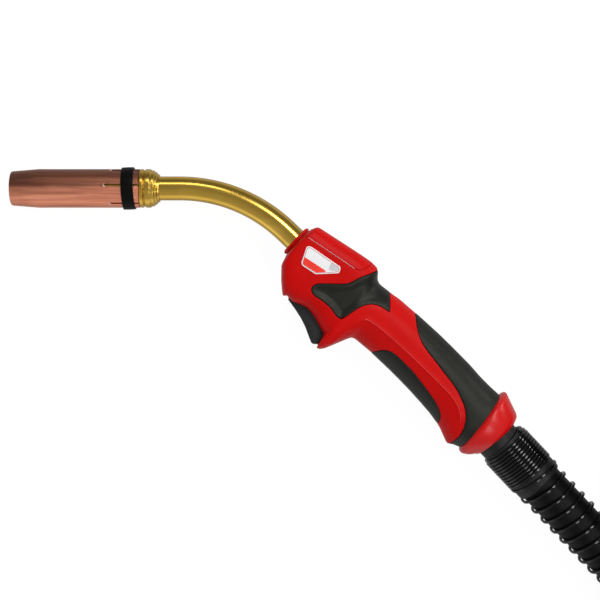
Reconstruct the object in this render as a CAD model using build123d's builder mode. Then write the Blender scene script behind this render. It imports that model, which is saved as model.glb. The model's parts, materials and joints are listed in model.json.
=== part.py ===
from build123d import *
import os
from math import cos, pi, radians, sin, sqrt, tan

os.makedirs("parts", exist_ok=True)

# A MIG welding torch lying on its right side, in millimetres, +Z up.
# Its middle plane is level, the nozzle points along -X and the trigger along -Y.

# ---------------------------------------------------------------- driving dimensions
MID_Z = 21.0  # height of the torch's middle plane, and half the width of the handle's head
CLEAR = 0.05  # radial gap between pieces that fit in each other

NOZZLE_LENGTH = 83.2
NOZZLE_R = 12.5
MOUTH_R = 8.5  # bore at the mouth of the nozzle
SEAT_R = 10.6  # bore of the nozzle's rear end, on the neck head
SLIT_START = 58.5
SLIT_WIDTH = 1.2
SLIT_COUNT = 6
RING_START, RING_END, RING_R = 71.5, 80.0, 13.75

TIP_FRONT = 6.0  # the contact tip stands back this far in the nozzle
TIP_R = 5.0
WIRE_BORE_R = 0.7
HEAD_REAR = 96.2  # rear end of the neck head

NECK_R = 7.8
NECK_BEND_R = 99.5
ELBOW_X = 149.2  # where the nozzle's axis meets the handle's
HANDLE_DROP = 43.8  # degrees from the nozzle's axis down to the handle's

BALL_U, BALL_V = 219.0, -2.0  # centre of the hose's ball joint along and across the handle
BALL_R = 16.5
SOCKET_R = 16.8
HOSE_DROP = 46.5  # degrees from the nozzle's axis down to the hose's
HOSE_SLOPE = 1.5  # degrees that the hose falls towards the surface
CUFF_R = 14.15
CUFF_FRONT, CUFF_REAR = 8.3, 17.3  # from the ball's centre
COLLAR_OPENING_R = 15.75
HOSE_R = 13.5
SPRING_R, SPRING_BORE_R = 16.5, 14.3
SPRING_REAR = 140.0
SLEEVE_REAR = 52.0
COIL_START = 212.0  # from the ball's centre to where the hose meets its coil
COIL_OUTER, COIL_INNER = 170.0, 142.0  # radii of the two lower turns
COIL_UPPER = (COIL_OUTER + COIL_INNER) / 2
PASSING_ROOM = 17.5  # from the incoming hose's axis to the turn beside it
PLUG_Z = 54.0

# ---------------------------------------------------------------- planes
HOSE_DIRECTION = Vector(
    cos(radians(HOSE_DROP)) * cos(radians(HOSE_SLOPE)),
    -sin(radians(HOSE_DROP)) * cos(radians(HOSE_SLOPE)),
    -sin(radians(HOSE_SLOPE)),
)
BALL_X = ELBOW_X + BALL_U * cos(radians(HANDLE_DROP)) + BALL_V * sin(radians(HANDLE_DROP))
BALL_Y = -BALL_U * sin(radians(HANDLE_DROP)) + BALL_V * cos(radians(HANDLE_DROP))

# The torch without its hose spans from the nozzle's mouth and ring to the rim of the cuff.
RIM_X = BALL_X + CUFF_REAR * HOSE_DIRECTION.X + CUFF_R * sqrt(1 - HOSE_DIRECTION.X**2)
RIM_Y = BALL_Y + CUFF_REAR * HOSE_DIRECTION.Y - CUFF_R * sqrt(1 - HOSE_DIRECTION.Y**2)
CENTRE_X = RIM_X / 2
CENTRE_Y = (RING_R + RIM_Y) / 2

# TORCH: x along the nozzle's axis from its mouth.  HANDLE: u along the handle, v across it.
TORCH = Plane(origin=(-CENTRE_X, -CENTRE_Y, MID_Z))
HANDLE = Plane(
    origin=TORCH.from_local_coords((ELBOW_X, 0, 0)),
    x_dir=(cos(radians(HANDLE_DROP)), -sin(radians(HANDLE_DROP)), 0),
    z_dir=(0, 0, 1),
)
# HOSE: x along the hose from the ball's centre.
HOSE = Plane(
    origin=HANDLE.from_local_coords((BALL_U, BALL_V, 0)),
    x_dir=HOSE_DIRECTION,
    z_dir=(
        cos(radians(HOSE_DROP)) * sin(radians(HOSE_SLOPE)),
        -sin(radians(HOSE_DROP)) * sin(radians(HOSE_SLOPE)),
        cos(radians(HOSE_SLOPE)),
    ),
)
# COIL: centred on the hose's coil, on the surface.  The hose meets its outer turn at a tangent.
COIL_MEETING = HOSE.from_local_coords((COIL_START, 0, 0))
COIL = Plane(
    origin=(
        COIL_MEETING.X + COIL_OUTER * sin(radians(HOSE_DROP)),
        COIL_MEETING.Y + COIL_OUTER * cos(radians(HOSE_DROP)),
        0,
    )
)
# PLUG: x along the machine plug from the end of the hose.
PLUG_PLACE = (-156.5, -37.5, PLUG_Z)  # in the coil's plane
PLUG = Plane(origin=COIL.from_local_coords(PLUG_PLACE), x_dir=(0, -1, 0), z_dir=(0, 0, 1))


def across(plane, x=0.0, y=0.0):
    """The plane square to another plane's x direction, with its own x along that plane's y."""
    return Plane(origin=plane.from_local_coords((x, y, 0)), x_dir=plane.y_dir, z_dir=plane.x_dir)


def face_of(plane, points):
    """A straight-sided face on a plane."""
    with BuildSketch(plane) as face:
        with BuildLine():
            Polyline(*points, close=True)
        make_face()
    return face.sketch


def turned(plane, points):
    """A solid of revolution about a plane's x axis, from points (along, radius)."""
    with BuildPart() as solid:
        revolve(face_of(plane, points), axis=Axis(plane.origin, plane.x_dir))
    return solid.part


def tube(plane, start, end, outer, inner):
    """A straight tube about a plane's x axis."""
    return turned(plane, [(start, inner), (start, outer), (end, outer), (end, inner)])


# ---------------------------------------------------------------- nozzle
with BuildPart() as gas_nozzle:
    add(
        turned(
            TORCH,
            [
                (0, MOUTH_R + 0.6),
                (0, 10.7),
                (0.8, 11.15),
                (18, 12.6),
                (24, NOZZLE_R),
                (NOZZLE_LENGTH, NOZZLE_R),
                (NOZZLE_LENGTH, SEAT_R),
                (60, SEAT_R),
                (59, 10.2),
                (22, 10.2),
                (10, MOUTH_R),
                (0.6, MOUTH_R),
            ],
        )
    )
    with BuildSketch(across(TORCH, SLIT_START)):
        with PolarLocations(NOZZLE_R - 1, SLIT_COUNT, start_angle=80):
            Rectangle(5, SLIT_WIDTH)
    extrude(amount=NOZZLE_LENGTH, mode=Mode.SUBTRACT)

with BuildPart() as nozzle_ring:
    add(
        turned(
            TORCH,
            [
                (RING_START, NOZZLE_R + CLEAR),
                (RING_START, RING_R - 0.5),
                (RING_START + 0.5, RING_R),
                (RING_END - 0.5, RING_R),
                (RING_END, RING_R - 0.5),
                (RING_END, NOZZLE_R + CLEAR),
            ],
        )
    )

# ---------------------------------------------------------------- front of the neck
TIP_REAR = TIP_FRONT + 30
THREAD_R = 4.0
HOLDER_FRONT = TIP_REAR - 9
GAS_BORE_R = 2.6

with BuildPart() as contact_tip:
    add(
        turned(
            TORCH,
            [
                (TIP_FRONT, WIRE_BORE_R),
                (TIP_FRONT, 3.2),
                (TIP_FRONT + 7, TIP_R),
                (HOLDER_FRONT, TIP_R),
                (HOLDER_FRONT, THREAD_R),
                (TIP_REAR, THREAD_R),
                (TIP_REAR, WIRE_BORE_R),
            ],
        )
    )

with BuildPart() as tip_holder:
    add(
        turned(
            TORCH,
            [
                (HOLDER_FRONT, THREAD_R + CLEAR),
                (HOLDER_FRONT, 5.9),
                (HOLDER_FRONT + 1, 6.5),
                (52, 6.5),
                (52, 5),
                (70, 5),
                (70, GAS_BORE_R),
                (TIP_REAR, GAS_BORE_R),
                (TIP_REAR, THREAD_R + CLEAR),
            ],
        )
    )
    with Locations(across(TORCH, 58)):
        for turn in (0, 90):
            with Locations(Rotation(0, 90, 0) if turn else Rotation(90, 0, 0)):
                Cylinder(1.2, 12, mode=Mode.SUBTRACT)

with BuildPart() as gas_diffuser:
    add(
        turned(
            TORCH,
            [(52.3, 5.05), (52.3, 8.8), (53, 9.4), (61.8, 9.4), (61.8, 7.4), (55.5, 7.4), (55.5, 5.05)],
        )
    )
    with BuildSketch(across(TORCH, 51)):
        with PolarLocations(6.2, 8):
            Circle(0.7)
    extrude(amount=6, mode=Mode.SUBTRACT)

with BuildPart() as neck_head:
    add(
        turned(
            TORCH,
            [
                (62, 5.05),
                (62, 9.9),
                (62.6, SEAT_R - 0.1),
                (NOZZLE_LENGTH + 0.2, SEAT_R - 0.1),
                (NOZZLE_LENGTH + 0.2, 12.5),
                (85.8, 12.5),
                (86.5, 11.7),
                (87.2, 12.5),
                (91.0, 12.5),
                (91.4, 11.6),
                (93.0, 11.6),
                (93.4, 10.4),
                (94.7, 10.4),
                (95.0, 9.0),
                (HEAD_REAR, 8.6),
                (HEAD_REAR, NECK_R + CLEAR),
                (88, NECK_R + CLEAR),
                (88, 4.65),
                (71, 4.65),
                (71, 5.05),
            ],
        )
    )

# ---------------------------------------------------------------- neck, in four layers
# Each runs from x on the nozzle's axis, round the bend, to u on the handle's axis.
NECK_LAYERS = {
    "neck_tube": (88.0, 78.0, NECK_R, 6.5),
    "neck_insulation": (88.0, 80.0, 6.45, 4.65),
    "inner_tube": (72.0, 94.0, 4.6, 2.9),
    "wire_liner": (TIP_REAR + 0.5, 96.0, 2.3, 1.0),
}
neck_pieces = {}
for layer_name, (front_x, rear_u, outer_r, inner_r) in NECK_LAYERS.items():
    with BuildPart() as layer:
        with BuildLine() as neck_line:
            FilletPolyline(
                TORCH.from_local_coords((front_x, 0, 0)),
                HANDLE.origin,
                HANDLE.from_local_coords((rear_u, 0, 0)),
                radius=NECK_BEND_R,
            )
        with BuildSketch(across(TORCH, front_x)):
            Circle(outer_r)
            Circle(inner_r, mode=Mode.SUBTRACT)
        sweep()
    neck_pieces[layer_name] = layer

# ---------------------------------------------------------------- outer form of the handle
# Oval sections of the grip: u, top v, bottom v, half width.
GRIP_SECTIONS = [
    (100, 18.0, -22.0, 19.0),
    (110, 17.3, -20.5, 18.6),
    (120, 18.6, -19.2, 18.0),
    (135, 19.7, -18.5, 17.6),
    (152, 20.2, -18.4, 17.6),
    (170, 20.1, -18.9, 17.8),
    (188, 19.1, -20.4, 18.2),
    (202, 18.6, -23.0, 18.6),
    (211, 19.0, -25.2, 19.0),
    (217.5, 19.2, -23.6, 19.0),
]
# Side outline of the head, from its front face over the top and back along the trigger's rim.
HEAD_OUTLINE = [
    (51.5, 13.6),
    (54.5, 16.2),
    (92, 23.4),
    (98, 23.7),
    (101, 22),
    (106, 17.6),
    (116, 17.3),
    (116, -19.9),
    (110.7, -32),
    (104.3, -31.6),
    (99.5, -30.3),
    (92.8, -27.9),
    (86, -26.9),
    (80, -28.2),
    (76, -30),
    (69.2, -29.5),
    (68, -32),
    (65, -29.5),
    (60, -25),
    (53.2, -18),
    (52, -14),
]
# Rounded sections that the head lies within: u, top v, bottom v, half width.
HEAD_SECTIONS = [
    (50.5, 15.6, -24, MID_Z - 1.5),
    (57, 17.4, -30, MID_Z),
    (96, 24.4, -41, MID_Z),
    (117, 18.0, -41, MID_Z - 3.2),
]
HEAD_ROUND = 8.0
GUARD_OUTLINE = [(104, -29), (106.5, -39.2), (108, -40.2), (109.6, -39.6), (118.5, -19.8), (112, -16)]


def grip_form(inset=0.0):
    """The grip's outer shape, drawn in by inset."""
    with BuildPart() as form:
        for u, top, bottom, half in GRIP_SECTIONS:
            with BuildSketch(across(HANDLE, u, (top + bottom) / 2)):
                Ellipse((top - bottom) / 2 - inset, half - inset)
        loft()
    return form.part


def head_form(inset=0.0):
    """The head's outer shape, drawn in by inset."""
    with BuildPart() as form:
        with BuildSketch(HANDLE):
            with BuildLine():
                Polyline(*HEAD_OUTLINE, close=True)
            make_face()
            if inset:
                offset(amount=-inset, mode=Mode.REPLACE)
        extrude(amount=MID_Z - inset, both=True)
        for u, top, bottom, half in HEAD_SECTIONS:
            with BuildSketch(across(HANDLE, u, (top + bottom) / 2)):
                RectangleRounded(top - bottom - 2 * inset, 2 * (half - inset), HEAD_ROUND - inset / 2)
        loft(ruled=True, mode=Mode.INTERSECT)
    return form.part


def handle_form(inset=0.0):
    """The whole handle's outer shape, drawn in by inset."""
    with BuildPart() as form:
        add(grip_form(inset))
        add(head_form(inset))
    return form.part


PAD_DEPTH = 2.0
COVER_DEPTH = 2.5
WALL = 3.5
FULL_FORM = handle_form()
UNDER_PADS = handle_form(PAD_DEPTH)
UNDER_COVER = head_form(COVER_DEPTH)
CAVITY = handle_form(WALL)

# Side outlines of the soft pads and the cover, closed beyond the handle's edge.
FRONT_PAD = [(100.5, 30), (100.5, 21.6), (97, 13.5), (94, 5.5), (86.7, -3.1), (79, -10.4), (77.4, -13.8)]
FRONT_PAD += [(79.4, -17.2), (84, -17.6), (90, -16.4), (96, -16.4), (102.3, -17.5), (105.5, -15)]
FRONT_PAD += [(107.3, -7.8), (109.2, -0.6), (115, 5.4), (124.2, 7.9), (122, 11.4), (116.4, 17.4), (116, 30)]
REAR_PAD = [(137.5, 30), (137.9, 18.4), (143.8, 13.4), (151.8, 8.7), (162.2, 6.2), (183, 3.1), (195.2, -0.4)]
REAR_PAD += [(203.5, -4.9), (208.8, -11.3), (211.8, -19.5), (211.5, -34), (219, -34), (219, 30)]
FINGER_PAD = [(134.3, -30), (134.7, -18.6), (139, -11.8), (146.1, -9), (157, -9), (169.8, -10.4)]
FINGER_PAD += [(185, -13.2), (192.9, -16.4), (197.1, -21.2), (198, -30)]
COVER = [(40, 6), (53.4, 6.2), (88, 12.3), (92.3, 14.3), (94.4, 18), (94.5, 34), (40, 34)]
TRIGGER_POCKET = [(69.8, -36), (69.8, -21), (107.6, -21), (107.6, -36), (107.2, -44)]
SLOT_HALF = 8.4  # half width of the trigger's pocket
BADGE = [(57, 1.8), (59.4, 3.4), (82, 7), (83.6, 3.4), (73.4, -7.4), (62.3, -9.4)]
BADGE_DEPTH = 0.8

TRIGGER_PIVOT = (74.5, -26.0)
SPRING_SEAT = (101.5, -15.6)
SCREW_PLACES = [(58.5, -15), (112, -20), (131, 11), (197, -14.5)]
SCREW_SEAT = -9.0  # height of the screw heads' seats, from the middle plane
SCREW_R, SCREW_HEAD_R = 1.5, 2.8


def skin(inner, outline):
    """The outer skin of the handle within a side outline."""
    with BuildPart() as piece:
        extrude(face_of(HANDLE, outline), amount=MID_Z + 1, both=True)
        add(FULL_FORM, mode=Mode.INTERSECT)
        add(inner, mode=Mode.SUBTRACT)
    return piece.part


FRONT_SKIN = skin(UNDER_PADS, FRONT_PAD)
REAR_SKIN = skin(UNDER_PADS, REAR_PAD)
FINGER_SKIN = skin(UNDER_PADS, FINGER_PAD)

with BuildPart() as top_cover:
    add(skin(UNDER_COVER, COVER))
    add(tube(HANDLE, 40, 60, 11.3, 1), mode=Mode.SUBTRACT)

# ---------------------------------------------------------------- ball joint
SECTION = across(HOSE)

with BuildPart(SECTION) as swivel_ball:
    Sphere(BALL_R)
    Cylinder(11, 3 * BALL_R, mode=Mode.SUBTRACT)
    with Locations((0, 0, CUFF_FRONT - 0.3 + BALL_R)):
        Box(3 * BALL_R, 3 * BALL_R, 2 * BALL_R, mode=Mode.SUBTRACT)
    with Locations((0, 0, -12 - BALL_R)):
        Box(3 * BALL_R, 3 * BALL_R, 2 * BALL_R, mode=Mode.SUBTRACT)

with BuildPart(SECTION) as socket_space:
    Sphere(SOCKET_R)
    Cylinder(COLLAR_OPENING_R, 40, align=(Align.CENTER, Align.CENTER, Align.MIN))

# ---------------------------------------------------------------- handle shells
with BuildPart() as handle_body:
    add(FULL_FORM)
    extrude(face_of(HANDLE, GUARD_OUTLINE), amount=MID_Z - 4, both=True)
    add(CAVITY, mode=Mode.SUBTRACT)
    with BuildSketch(HANDLE.offset(-MID_Z)):
        with Locations(*SCREW_PLACES):
            Circle(SCREW_HEAD_R + 1.6)
        with Locations(TRIGGER_PIVOT):
            Circle(3.4)
        with Locations(SPRING_SEAT):
            Rectangle(8, 2.4)
    extrude(amount=2 * MID_Z)
    add(FULL_FORM, mode=Mode.INTERSECT)
    extrude(face_of(HANDLE, GUARD_OUTLINE), amount=MID_Z - 4, both=True)
    extrude(face_of(HANDLE, TRIGGER_POCKET), amount=SLOT_HALF, both=True, mode=Mode.SUBTRACT)
    with BuildSketch(HANDLE):
        with Locations(SPRING_SEAT):
            Rectangle(8, 2.4)
    extrude(amount=SLOT_HALF, both=True)
    for soft_skin in (FRONT_SKIN, REAR_SKIN, FINGER_SKIN, top_cover.part):
        add(soft_skin, mode=Mode.SUBTRACT)
    add(socket_space.part, mode=Mode.SUBTRACT)
    neck_way = [(45, 0), (45, 11.25), (54.2, 11.25), (54.2, NECK_R + 0.15), (62, NECK_R + 0.15), (62, 0)]
    add(turned(HANDLE, neck_way), mode=Mode.SUBTRACT)
    with BuildSketch(HANDLE.offset(-MID_Z)):
        with Locations(*SCREW_PLACES):
            Circle(SCREW_HEAD_R + 0.2)
    extrude(amount=MID_Z + SCREW_SEAT, mode=Mode.SUBTRACT)
    with BuildSketch(HANDLE.offset(SCREW_SEAT)):
        with Locations(*SCREW_PLACES):
            Circle(SCREW_R + CLEAR)
    extrude(amount=8 - SCREW_SEAT, mode=Mode.SUBTRACT)
    with BuildSketch(HANDLE):
        with Locations(TRIGGER_PIVOT):
            Circle(1.5 + CLEAR)
    extrude(amount=14.2, both=True, mode=Mode.SUBTRACT)


def badge_blank():
    """The badge plate's outline, flush with the left side of the head."""
    with BuildPart() as blank:
        with BuildSketch(HANDLE.offset(MID_Z - BADGE_DEPTH)) as plate:
            with BuildLine():
                Polyline(*BADGE, close=True)
            make_face()
            fillet(plate.vertices(), 1.2)
        extrude(amount=BADGE_DEPTH)
    return blank.part


with BuildPart() as badge_left:
    add(badge_blank())
with BuildPart() as badge_right:
    mirror(badge_blank(), about=HANDLE)


def half_of(whole, keep, *cuts):
    """One side of a piece that is split at the torch's middle plane."""
    with BuildPart() as half:
        add(whole)
        split(bisect_by=HANDLE, keep=keep)
        for cut in cuts:
            add(cut, mode=Mode.SUBTRACT)
    return half


sides = {"left": Keep.TOP, "right": Keep.BOTTOM}
badges = {"left": badge_left, "right": badge_right}
split_pieces = {}
for side, keep in sides.items():
    split_pieces[f"handle_shell_{side}"] = half_of(handle_body.part, keep, badges[side].part)
    split_pieces[f"front_grip_{side}"] = half_of(FRONT_SKIN, keep)
    split_pieces[f"rear_grip_{side}"] = half_of(REAR_SKIN, keep, socket_space.part)
    split_pieces[f"finger_grip_{side}"] = half_of(FINGER_SKIN, keep)

with BuildPart() as shell_screws:
    with BuildSketch(HANDLE.offset(SCREW_SEAT - 2.4)):
        with Locations(*SCREW_PLACES):
            Circle(SCREW_HEAD_R)
    extrude(amount=2.4)
    with BuildSketch(HANDLE.offset(SCREW_SEAT)):
        with Locations(*SCREW_PLACES):
            Circle(SCREW_R)
    extrude(amount=7.7 - SCREW_SEAT)

with BuildPart() as front_collar:
    add(turned(HANDLE, [(48.2, 7.85), (48.2, 9), (50.4, 11.2), (54.2, 11.2), (54.2, 7.85)]))

# The flared collar is lofted through tilted ovals: middle u and v, half height, half width, tilt.
COLLAR_SECTIONS = [
    (216.0, -2.1, 21.7, 19.0, 6.7),
    (220.1, -1.2, 24.2, MID_Z - 0.1, 6.2),
    (228.4, -2.4, 19.9, 18.8, -5.5),
    (230.6, -2.5, 17.2, 17.2, -6.5),
]
with BuildPart() as rear_collar:
    for u, v, half_height, half_width, tilt in COLLAR_SECTIONS:
        with BuildSketch(across(HANDLE, u, v).rotated((0, tilt, 0))):
            Ellipse(half_height, half_width)
    loft()
    add(grip_form(), mode=Mode.SUBTRACT)
    add(socket_space.part, mode=Mode.SUBTRACT)

# ---------------------------------------------------------------- inside the handle
with BuildPart() as neck_clamp:
    with BuildSketch(across(HANDLE, 62)):
        RectangleRounded(20, 24, 3)
        Circle(NECK_R + CLEAR, mode=Mode.SUBTRACT)
    extrude(amount=15)

CABLE_R = 6.0
with BuildPart() as power_block:
    add(
        turned(
            HANDLE,
            [
                (82, 4.65),
                (82, 9),
                (106, 9),
                (108, 8),
                (108, CABLE_R + CLEAR),
                (98, CABLE_R + CLEAR),
                (98, 2.4),
                (94.5, 2.4),
                (94.5, 4.65),
            ],
        )
    )

with BuildPart() as power_cable:
    with BuildSketch(across(HANDLE, 98.2)):
        Circle(CABLE_R)
    extrude(amount=102.3)

with BuildPart() as cable_sleeve:
    add(tube(HANDLE, 108.2, 124, 7.4, CABLE_R + CLEAR))

# ---------------------------------------------------------------- trigger and switch
SWITCH_U = (80.0, 97.0)
SWITCH_V = (-19.5, -9.8)
PLUNGER_U = 90.5
PLUNGER_R = 1.4

with BuildPart() as trigger:
    with BuildSketch(HANDLE):
        with BuildLine():
            Polyline((70.6, -29.4), (72.0, -31.2), (79.3, -32.5), (86.0, -34.1), (92.0, -36.2))
            Spline((92.0, -36.2), (97.5, -38.8), (102.4, -40.7), (105.2, -38.6), (105.6, -35.4))
            Polyline(
                (105.6, -35.4),
                (105.2, -30),
                (103, -26.6),
                (93, -25.2),
                (92.5, -23.4),
                (88.5, -23.4),
                (88, -24.6),
                (77.5, -23.4),
                (74.5, -22.9),
                (71.4, -24.4),
                (70.6, -29.4),
            )
        make_face()
        with Locations(TRIGGER_PIVOT):
            Circle(1.5 + CLEAR, mode=Mode.SUBTRACT)
    extrude(amount=SLOT_HALF - 0.5, both=True)

with BuildPart() as trigger_pin:
    with BuildSketch(HANDLE):
        with Locations(TRIGGER_PIVOT):
            Circle(1.5)
    extrude(amount=14, both=True)

with BuildPart() as trigger_spring:
    spring_foot = HANDLE.from_local_coords((SPRING_SEAT[0], -25.7, 0))
    with BuildSketch(Plane(origin=spring_foot, x_dir=HANDLE.x_dir, z_dir=HANDLE.y_dir)):
        Circle(3)
        Circle(2.2, mode=Mode.SUBTRACT)
    extrude(amount=25.7 - 16.9)

with BuildPart() as microswitch:
    with BuildSketch(HANDLE):
        with Locations((sum(SWITCH_U) / 2, sum(SWITCH_V) / 2)):
            RectangleRounded(SWITCH_U[1] - SWITCH_U[0], SWITCH_V[1] - SWITCH_V[0], 0.6)
    extrude(amount=3.2, both=True)
    plunger_foot = HANDLE.from_local_coords((PLUNGER_U, SWITCH_V[0], 0))
    with BuildSketch(Plane(origin=plunger_foot, x_dir=HANDLE.x_dir, z_dir=HANDLE.y_dir)):
        Circle(PLUNGER_R + CLEAR)
    extrude(amount=7, mode=Mode.SUBTRACT)

with BuildPart() as switch_plunger:
    plunger_low = HANDLE.from_local_coords((PLUNGER_U, -23.1, 0))
    with BuildSketch(Plane(origin=plunger_low, x_dir=HANDLE.x_dir, z_dir=HANDLE.y_dir)):
        Circle(PLUNGER_R)
    extrude(amount=7.5)

with BuildPart() as switch_leads:
    for lead_z in (-1.5, 1.5):
        with BuildLine() as lead_line:
            FilletPolyline(
                HANDLE.from_local_coords((SWITCH_U[1], -13, lead_z)),
                HANDLE.from_local_coords((104, -13, lead_z)),
                HANDLE.from_local_coords((114, -8.6, lead_z)),
                HANDLE.from_local_coords((196, -8.6, lead_z)),
                radius=5,
            )
        with BuildSketch(across(HANDLE, SWITCH_U[1], -13)):
            with Locations((0, lead_z)):
                Circle(0.9)
        sweep()

# ---------------------------------------------------------------- hose at the handle
with BuildPart() as hose_cuff:
    add(
        turned(
            HOSE,
            [
                (-14.3, 7),
                (-14.3, 12),
                (-12.3, 12.6),
                (-12.3, 10.95),
                (CUFF_FRONT, 10.95),
                (CUFF_FRONT, CUFF_R),
                (CUFF_REAR, CUFF_R),
                (CUFF_REAR, 7),
            ],
        )
    )

with BuildPart() as hose_end_sleeve:
    add(tube(HOSE, CUFF_REAR, SLEEVE_REAR, SPRING_BORE_R - 0.1, HOSE_R + CLEAR))

with BuildPart() as bend_spring:
    add(tube(HOSE, CUFF_REAR, SPRING_REAR, SPRING_R, SPRING_BORE_R))

with BuildPart() as hose:
    with BuildSketch(across(HOSE, CUFF_REAR)):
        Circle(HOSE_R)
    extrude(amount=COIL_START - CUFF_REAR)

# ---------------------------------------------------------------- the rest of the hose, wound up
UPPER_Z = HOSE_R + sqrt((2 * HOSE_R) ** 2 - ((COIL_OUTER - COIL_INNER) / 2) ** 2)
UPPER_START, UPPER_TURN = -95.0, 185.0  # degrees round the coil
CLIMB_TURN = 40.0  # degrees in which the hose climbs from its inner turn to the upper one

with BuildPart() as hose_coil:
    with BuildSketch(Plane(origin=COIL.origin, x_dir=(1, 0, 0), z_dir=(0, -1, 0))):
        with Locations((COIL_UPPER, HOSE_R)):
            RectangleRounded(COIL_OUTER - COIL_INNER + 2 * HOSE_R, 2 * HOSE_R, HOSE_R - 0.3)
    revolve(axis=Axis(COIL.origin, (0, 0, 1)))
    # The outer turn draws inwards to make room for the hose that comes in beside it.
    level_x = (HOSE_DIRECTION.X, HOSE_DIRECTION.Y, 0)
    with BuildSketch(Plane(origin=COIL_MEETING, x_dir=level_x, z_dir=(0, 0, 1))):
        with Locations((0, PASSING_ROOM)):
            Rectangle(COIL_OUTER, 4 * PASSING_ROOM, align=(Align.MAX, Align.MAX))
    extrude(amount=PLUG_Z, both=True, mode=Mode.SUBTRACT)
    upper_x = (cos(radians(UPPER_START)), sin(radians(UPPER_START)), 0)
    upper_normal = (sin(radians(UPPER_START)), -cos(radians(UPPER_START)), 0)
    with BuildSketch(Plane(origin=COIL.origin, x_dir=upper_x, z_dir=upper_normal)):
        with Locations((COIL_UPPER, UPPER_Z)):
            Circle(HOSE_R)
    revolve(axis=Axis(COIL.origin, (0, 0, 1)), revolution_arc=UPPER_TURN)

# From the coil's upper turn round to the plug, in the coil's plane.
TAIL_ROUTE = [
    (0, 156, 36.6),
    (-57, 146, 40),
    (-106.5, 115, 46),
    (-140.5, 68.5, 51.5),
    (-156.5, 12.5, PLUG_Z),
    PLUG_PLACE,
]


def bend_radii(points):
    """The largest arc that each corner of a route has room for."""
    places = [Vector(*point) for point in points]
    radii = []
    for before, corner, after in zip(places, places[1:], places[2:]):
        run = min((corner - before).length, (after - corner).length)
        half_turn = (corner - before).get_angle(after - corner) / 2
        radii.append(0.45 * run / tan(radians(half_turn)))
    return radii


tail_radii = bend_radii(TAIL_ROUTE)
print("tail radii", [round(radius) for radius in tail_radii])

with BuildPart() as hose_tail:
    with BuildLine() as tail_line:
        FilletPolyline(*[COIL.from_local_coords(point) for point in TAIL_ROUTE], radius=tail_radii)
    with BuildSketch(Plane(origin=tail_line.line @ 0, z_dir=tail_line.line % 0)):
        Circle(HOSE_R)
    sweep()
tail_length = tail_line.wires()[0].length
tail_section = pi * HOSE_R**2
print("tail volume", round(hose_tail.part.volume), "section x length", round(tail_section * tail_length))
turns_length = 2 * pi * (COIL_OUTER + COIL_INNER + COIL_UPPER * (UPPER_TURN + CLIMB_TURN) / 360)
print("hose length", round(COIL_START - CUFF_REAR + turns_length + tail_length))

# ---------------------------------------------------------------- machine plug
PLUG_R = 23.0
NUT_FRONT = 124.0
PIN_R = 5.0
PIN_SHANK_R = 5.6  # the pin behind the face of the insulator
PIN_BORE_R = 1.6
INSULATOR_FACE = 105.0
CONTACT_R = 1.6
CONTACT_PLACES = {"a": (-6.5, 11.0), "b": (6.5, 11.0)}  # across and above the plug's axis
PLUG_SCREWS = [(38, -14.5), (38, 14.5)]

with BuildPart() as plug_spring:
    add(tube(PLUG, -24, 8, SPRING_R, SPRING_BORE_R))

with BuildPart() as plug_housing:
    add(
        turned(
            PLUG,
            [
                (0, SPRING_R + CLEAR),
                (0, 18.4),
                (1, 19),
                (14, 19.4),
                (22, PLUG_R),
                (86, PLUG_R),
                (90, 21.4),
                (90, 18),
                (56, 18),
                (54, 20.4),
                (24, 20.4),
                (14, SPRING_R + CLEAR),
            ],
        )
    )
    with BuildSketch(PLUG.offset(-PLUG_R)):
        with Locations(*PLUG_SCREWS):
            Circle(4.2)
    extrude(amount=2 * PLUG_R)
    outside = [(-1, 0), (-1, 19), (14, 19.4), (22, PLUG_R), (92, PLUG_R), (92, 0)]
    add(turned(PLUG, outside), mode=Mode.INTERSECT)
    with BuildSketch(PLUG.offset(12)):
        with Locations(*PLUG_SCREWS):
            Circle(SCREW_HEAD_R + 0.2)
    extrude(amount=PLUG_R, mode=Mode.SUBTRACT)
    with BuildSketch(PLUG.offset(-8.3)):
        with Locations(*PLUG_SCREWS):
            Circle(SCREW_R + CLEAR)
    extrude(amount=25, mode=Mode.SUBTRACT)

with BuildPart() as plug_housing_top:
    add(plug_housing.part)
    split(bisect_by=PLUG, keep=Keep.TOP)

with BuildPart() as plug_housing_bottom:
    add(plug_housing.part)
    split(bisect_by=PLUG, keep=Keep.BOTTOM)

with BuildPart() as plug_screws:
    with BuildSketch(PLUG.offset(-8)):
        with Locations(*PLUG_SCREWS):
            Circle(SCREW_R)
    extrude(amount=20)
    with BuildSketch(PLUG.offset(12)):
        with Locations(*PLUG_SCREWS):
            Circle(SCREW_HEAD_R)
    extrude(amount=2.4)

with BuildPart() as plug_cable_end:
    add(turned(PLUG, [(0, 0), (0, 8), (30, 8), (30, 6.5), (44, 6.5), (44, 0)]))

with BuildPart() as plug_body:
    add(
        turned(
            PLUG,
            [
                (34, 6.55),
                (34, 9),
                (100, 9),
                (100, PIN_SHANK_R + CLEAR),
                (60, PIN_SHANK_R + CLEAR),
                (60, 2),
                (45, 2),
                (45, 6.55),
            ],
        )
    )

contact_plane = across(PLUG, 80)
with BuildPart() as plug_insulator:
    add(
        turned(
            PLUG,
            [
                (56, 9.05),
                (56, 17.9),
                (90, 17.9),
                (90, 15.5),
                (100.3, 15.5),
                (100.3, 18.5),
                (INSULATOR_FACE, 18.5),
                (INSULATOR_FACE, PIN_SHANK_R + CLEAR),
                (100.1, PIN_SHANK_R + CLEAR),
                (100.1, 9.05),
            ],
        )
    )
    with BuildSketch(contact_plane):
        with Locations(*CONTACT_PLACES.values()):
            Circle(CONTACT_R + CLEAR)
    extrude(amount=30, mode=Mode.SUBTRACT)

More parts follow.
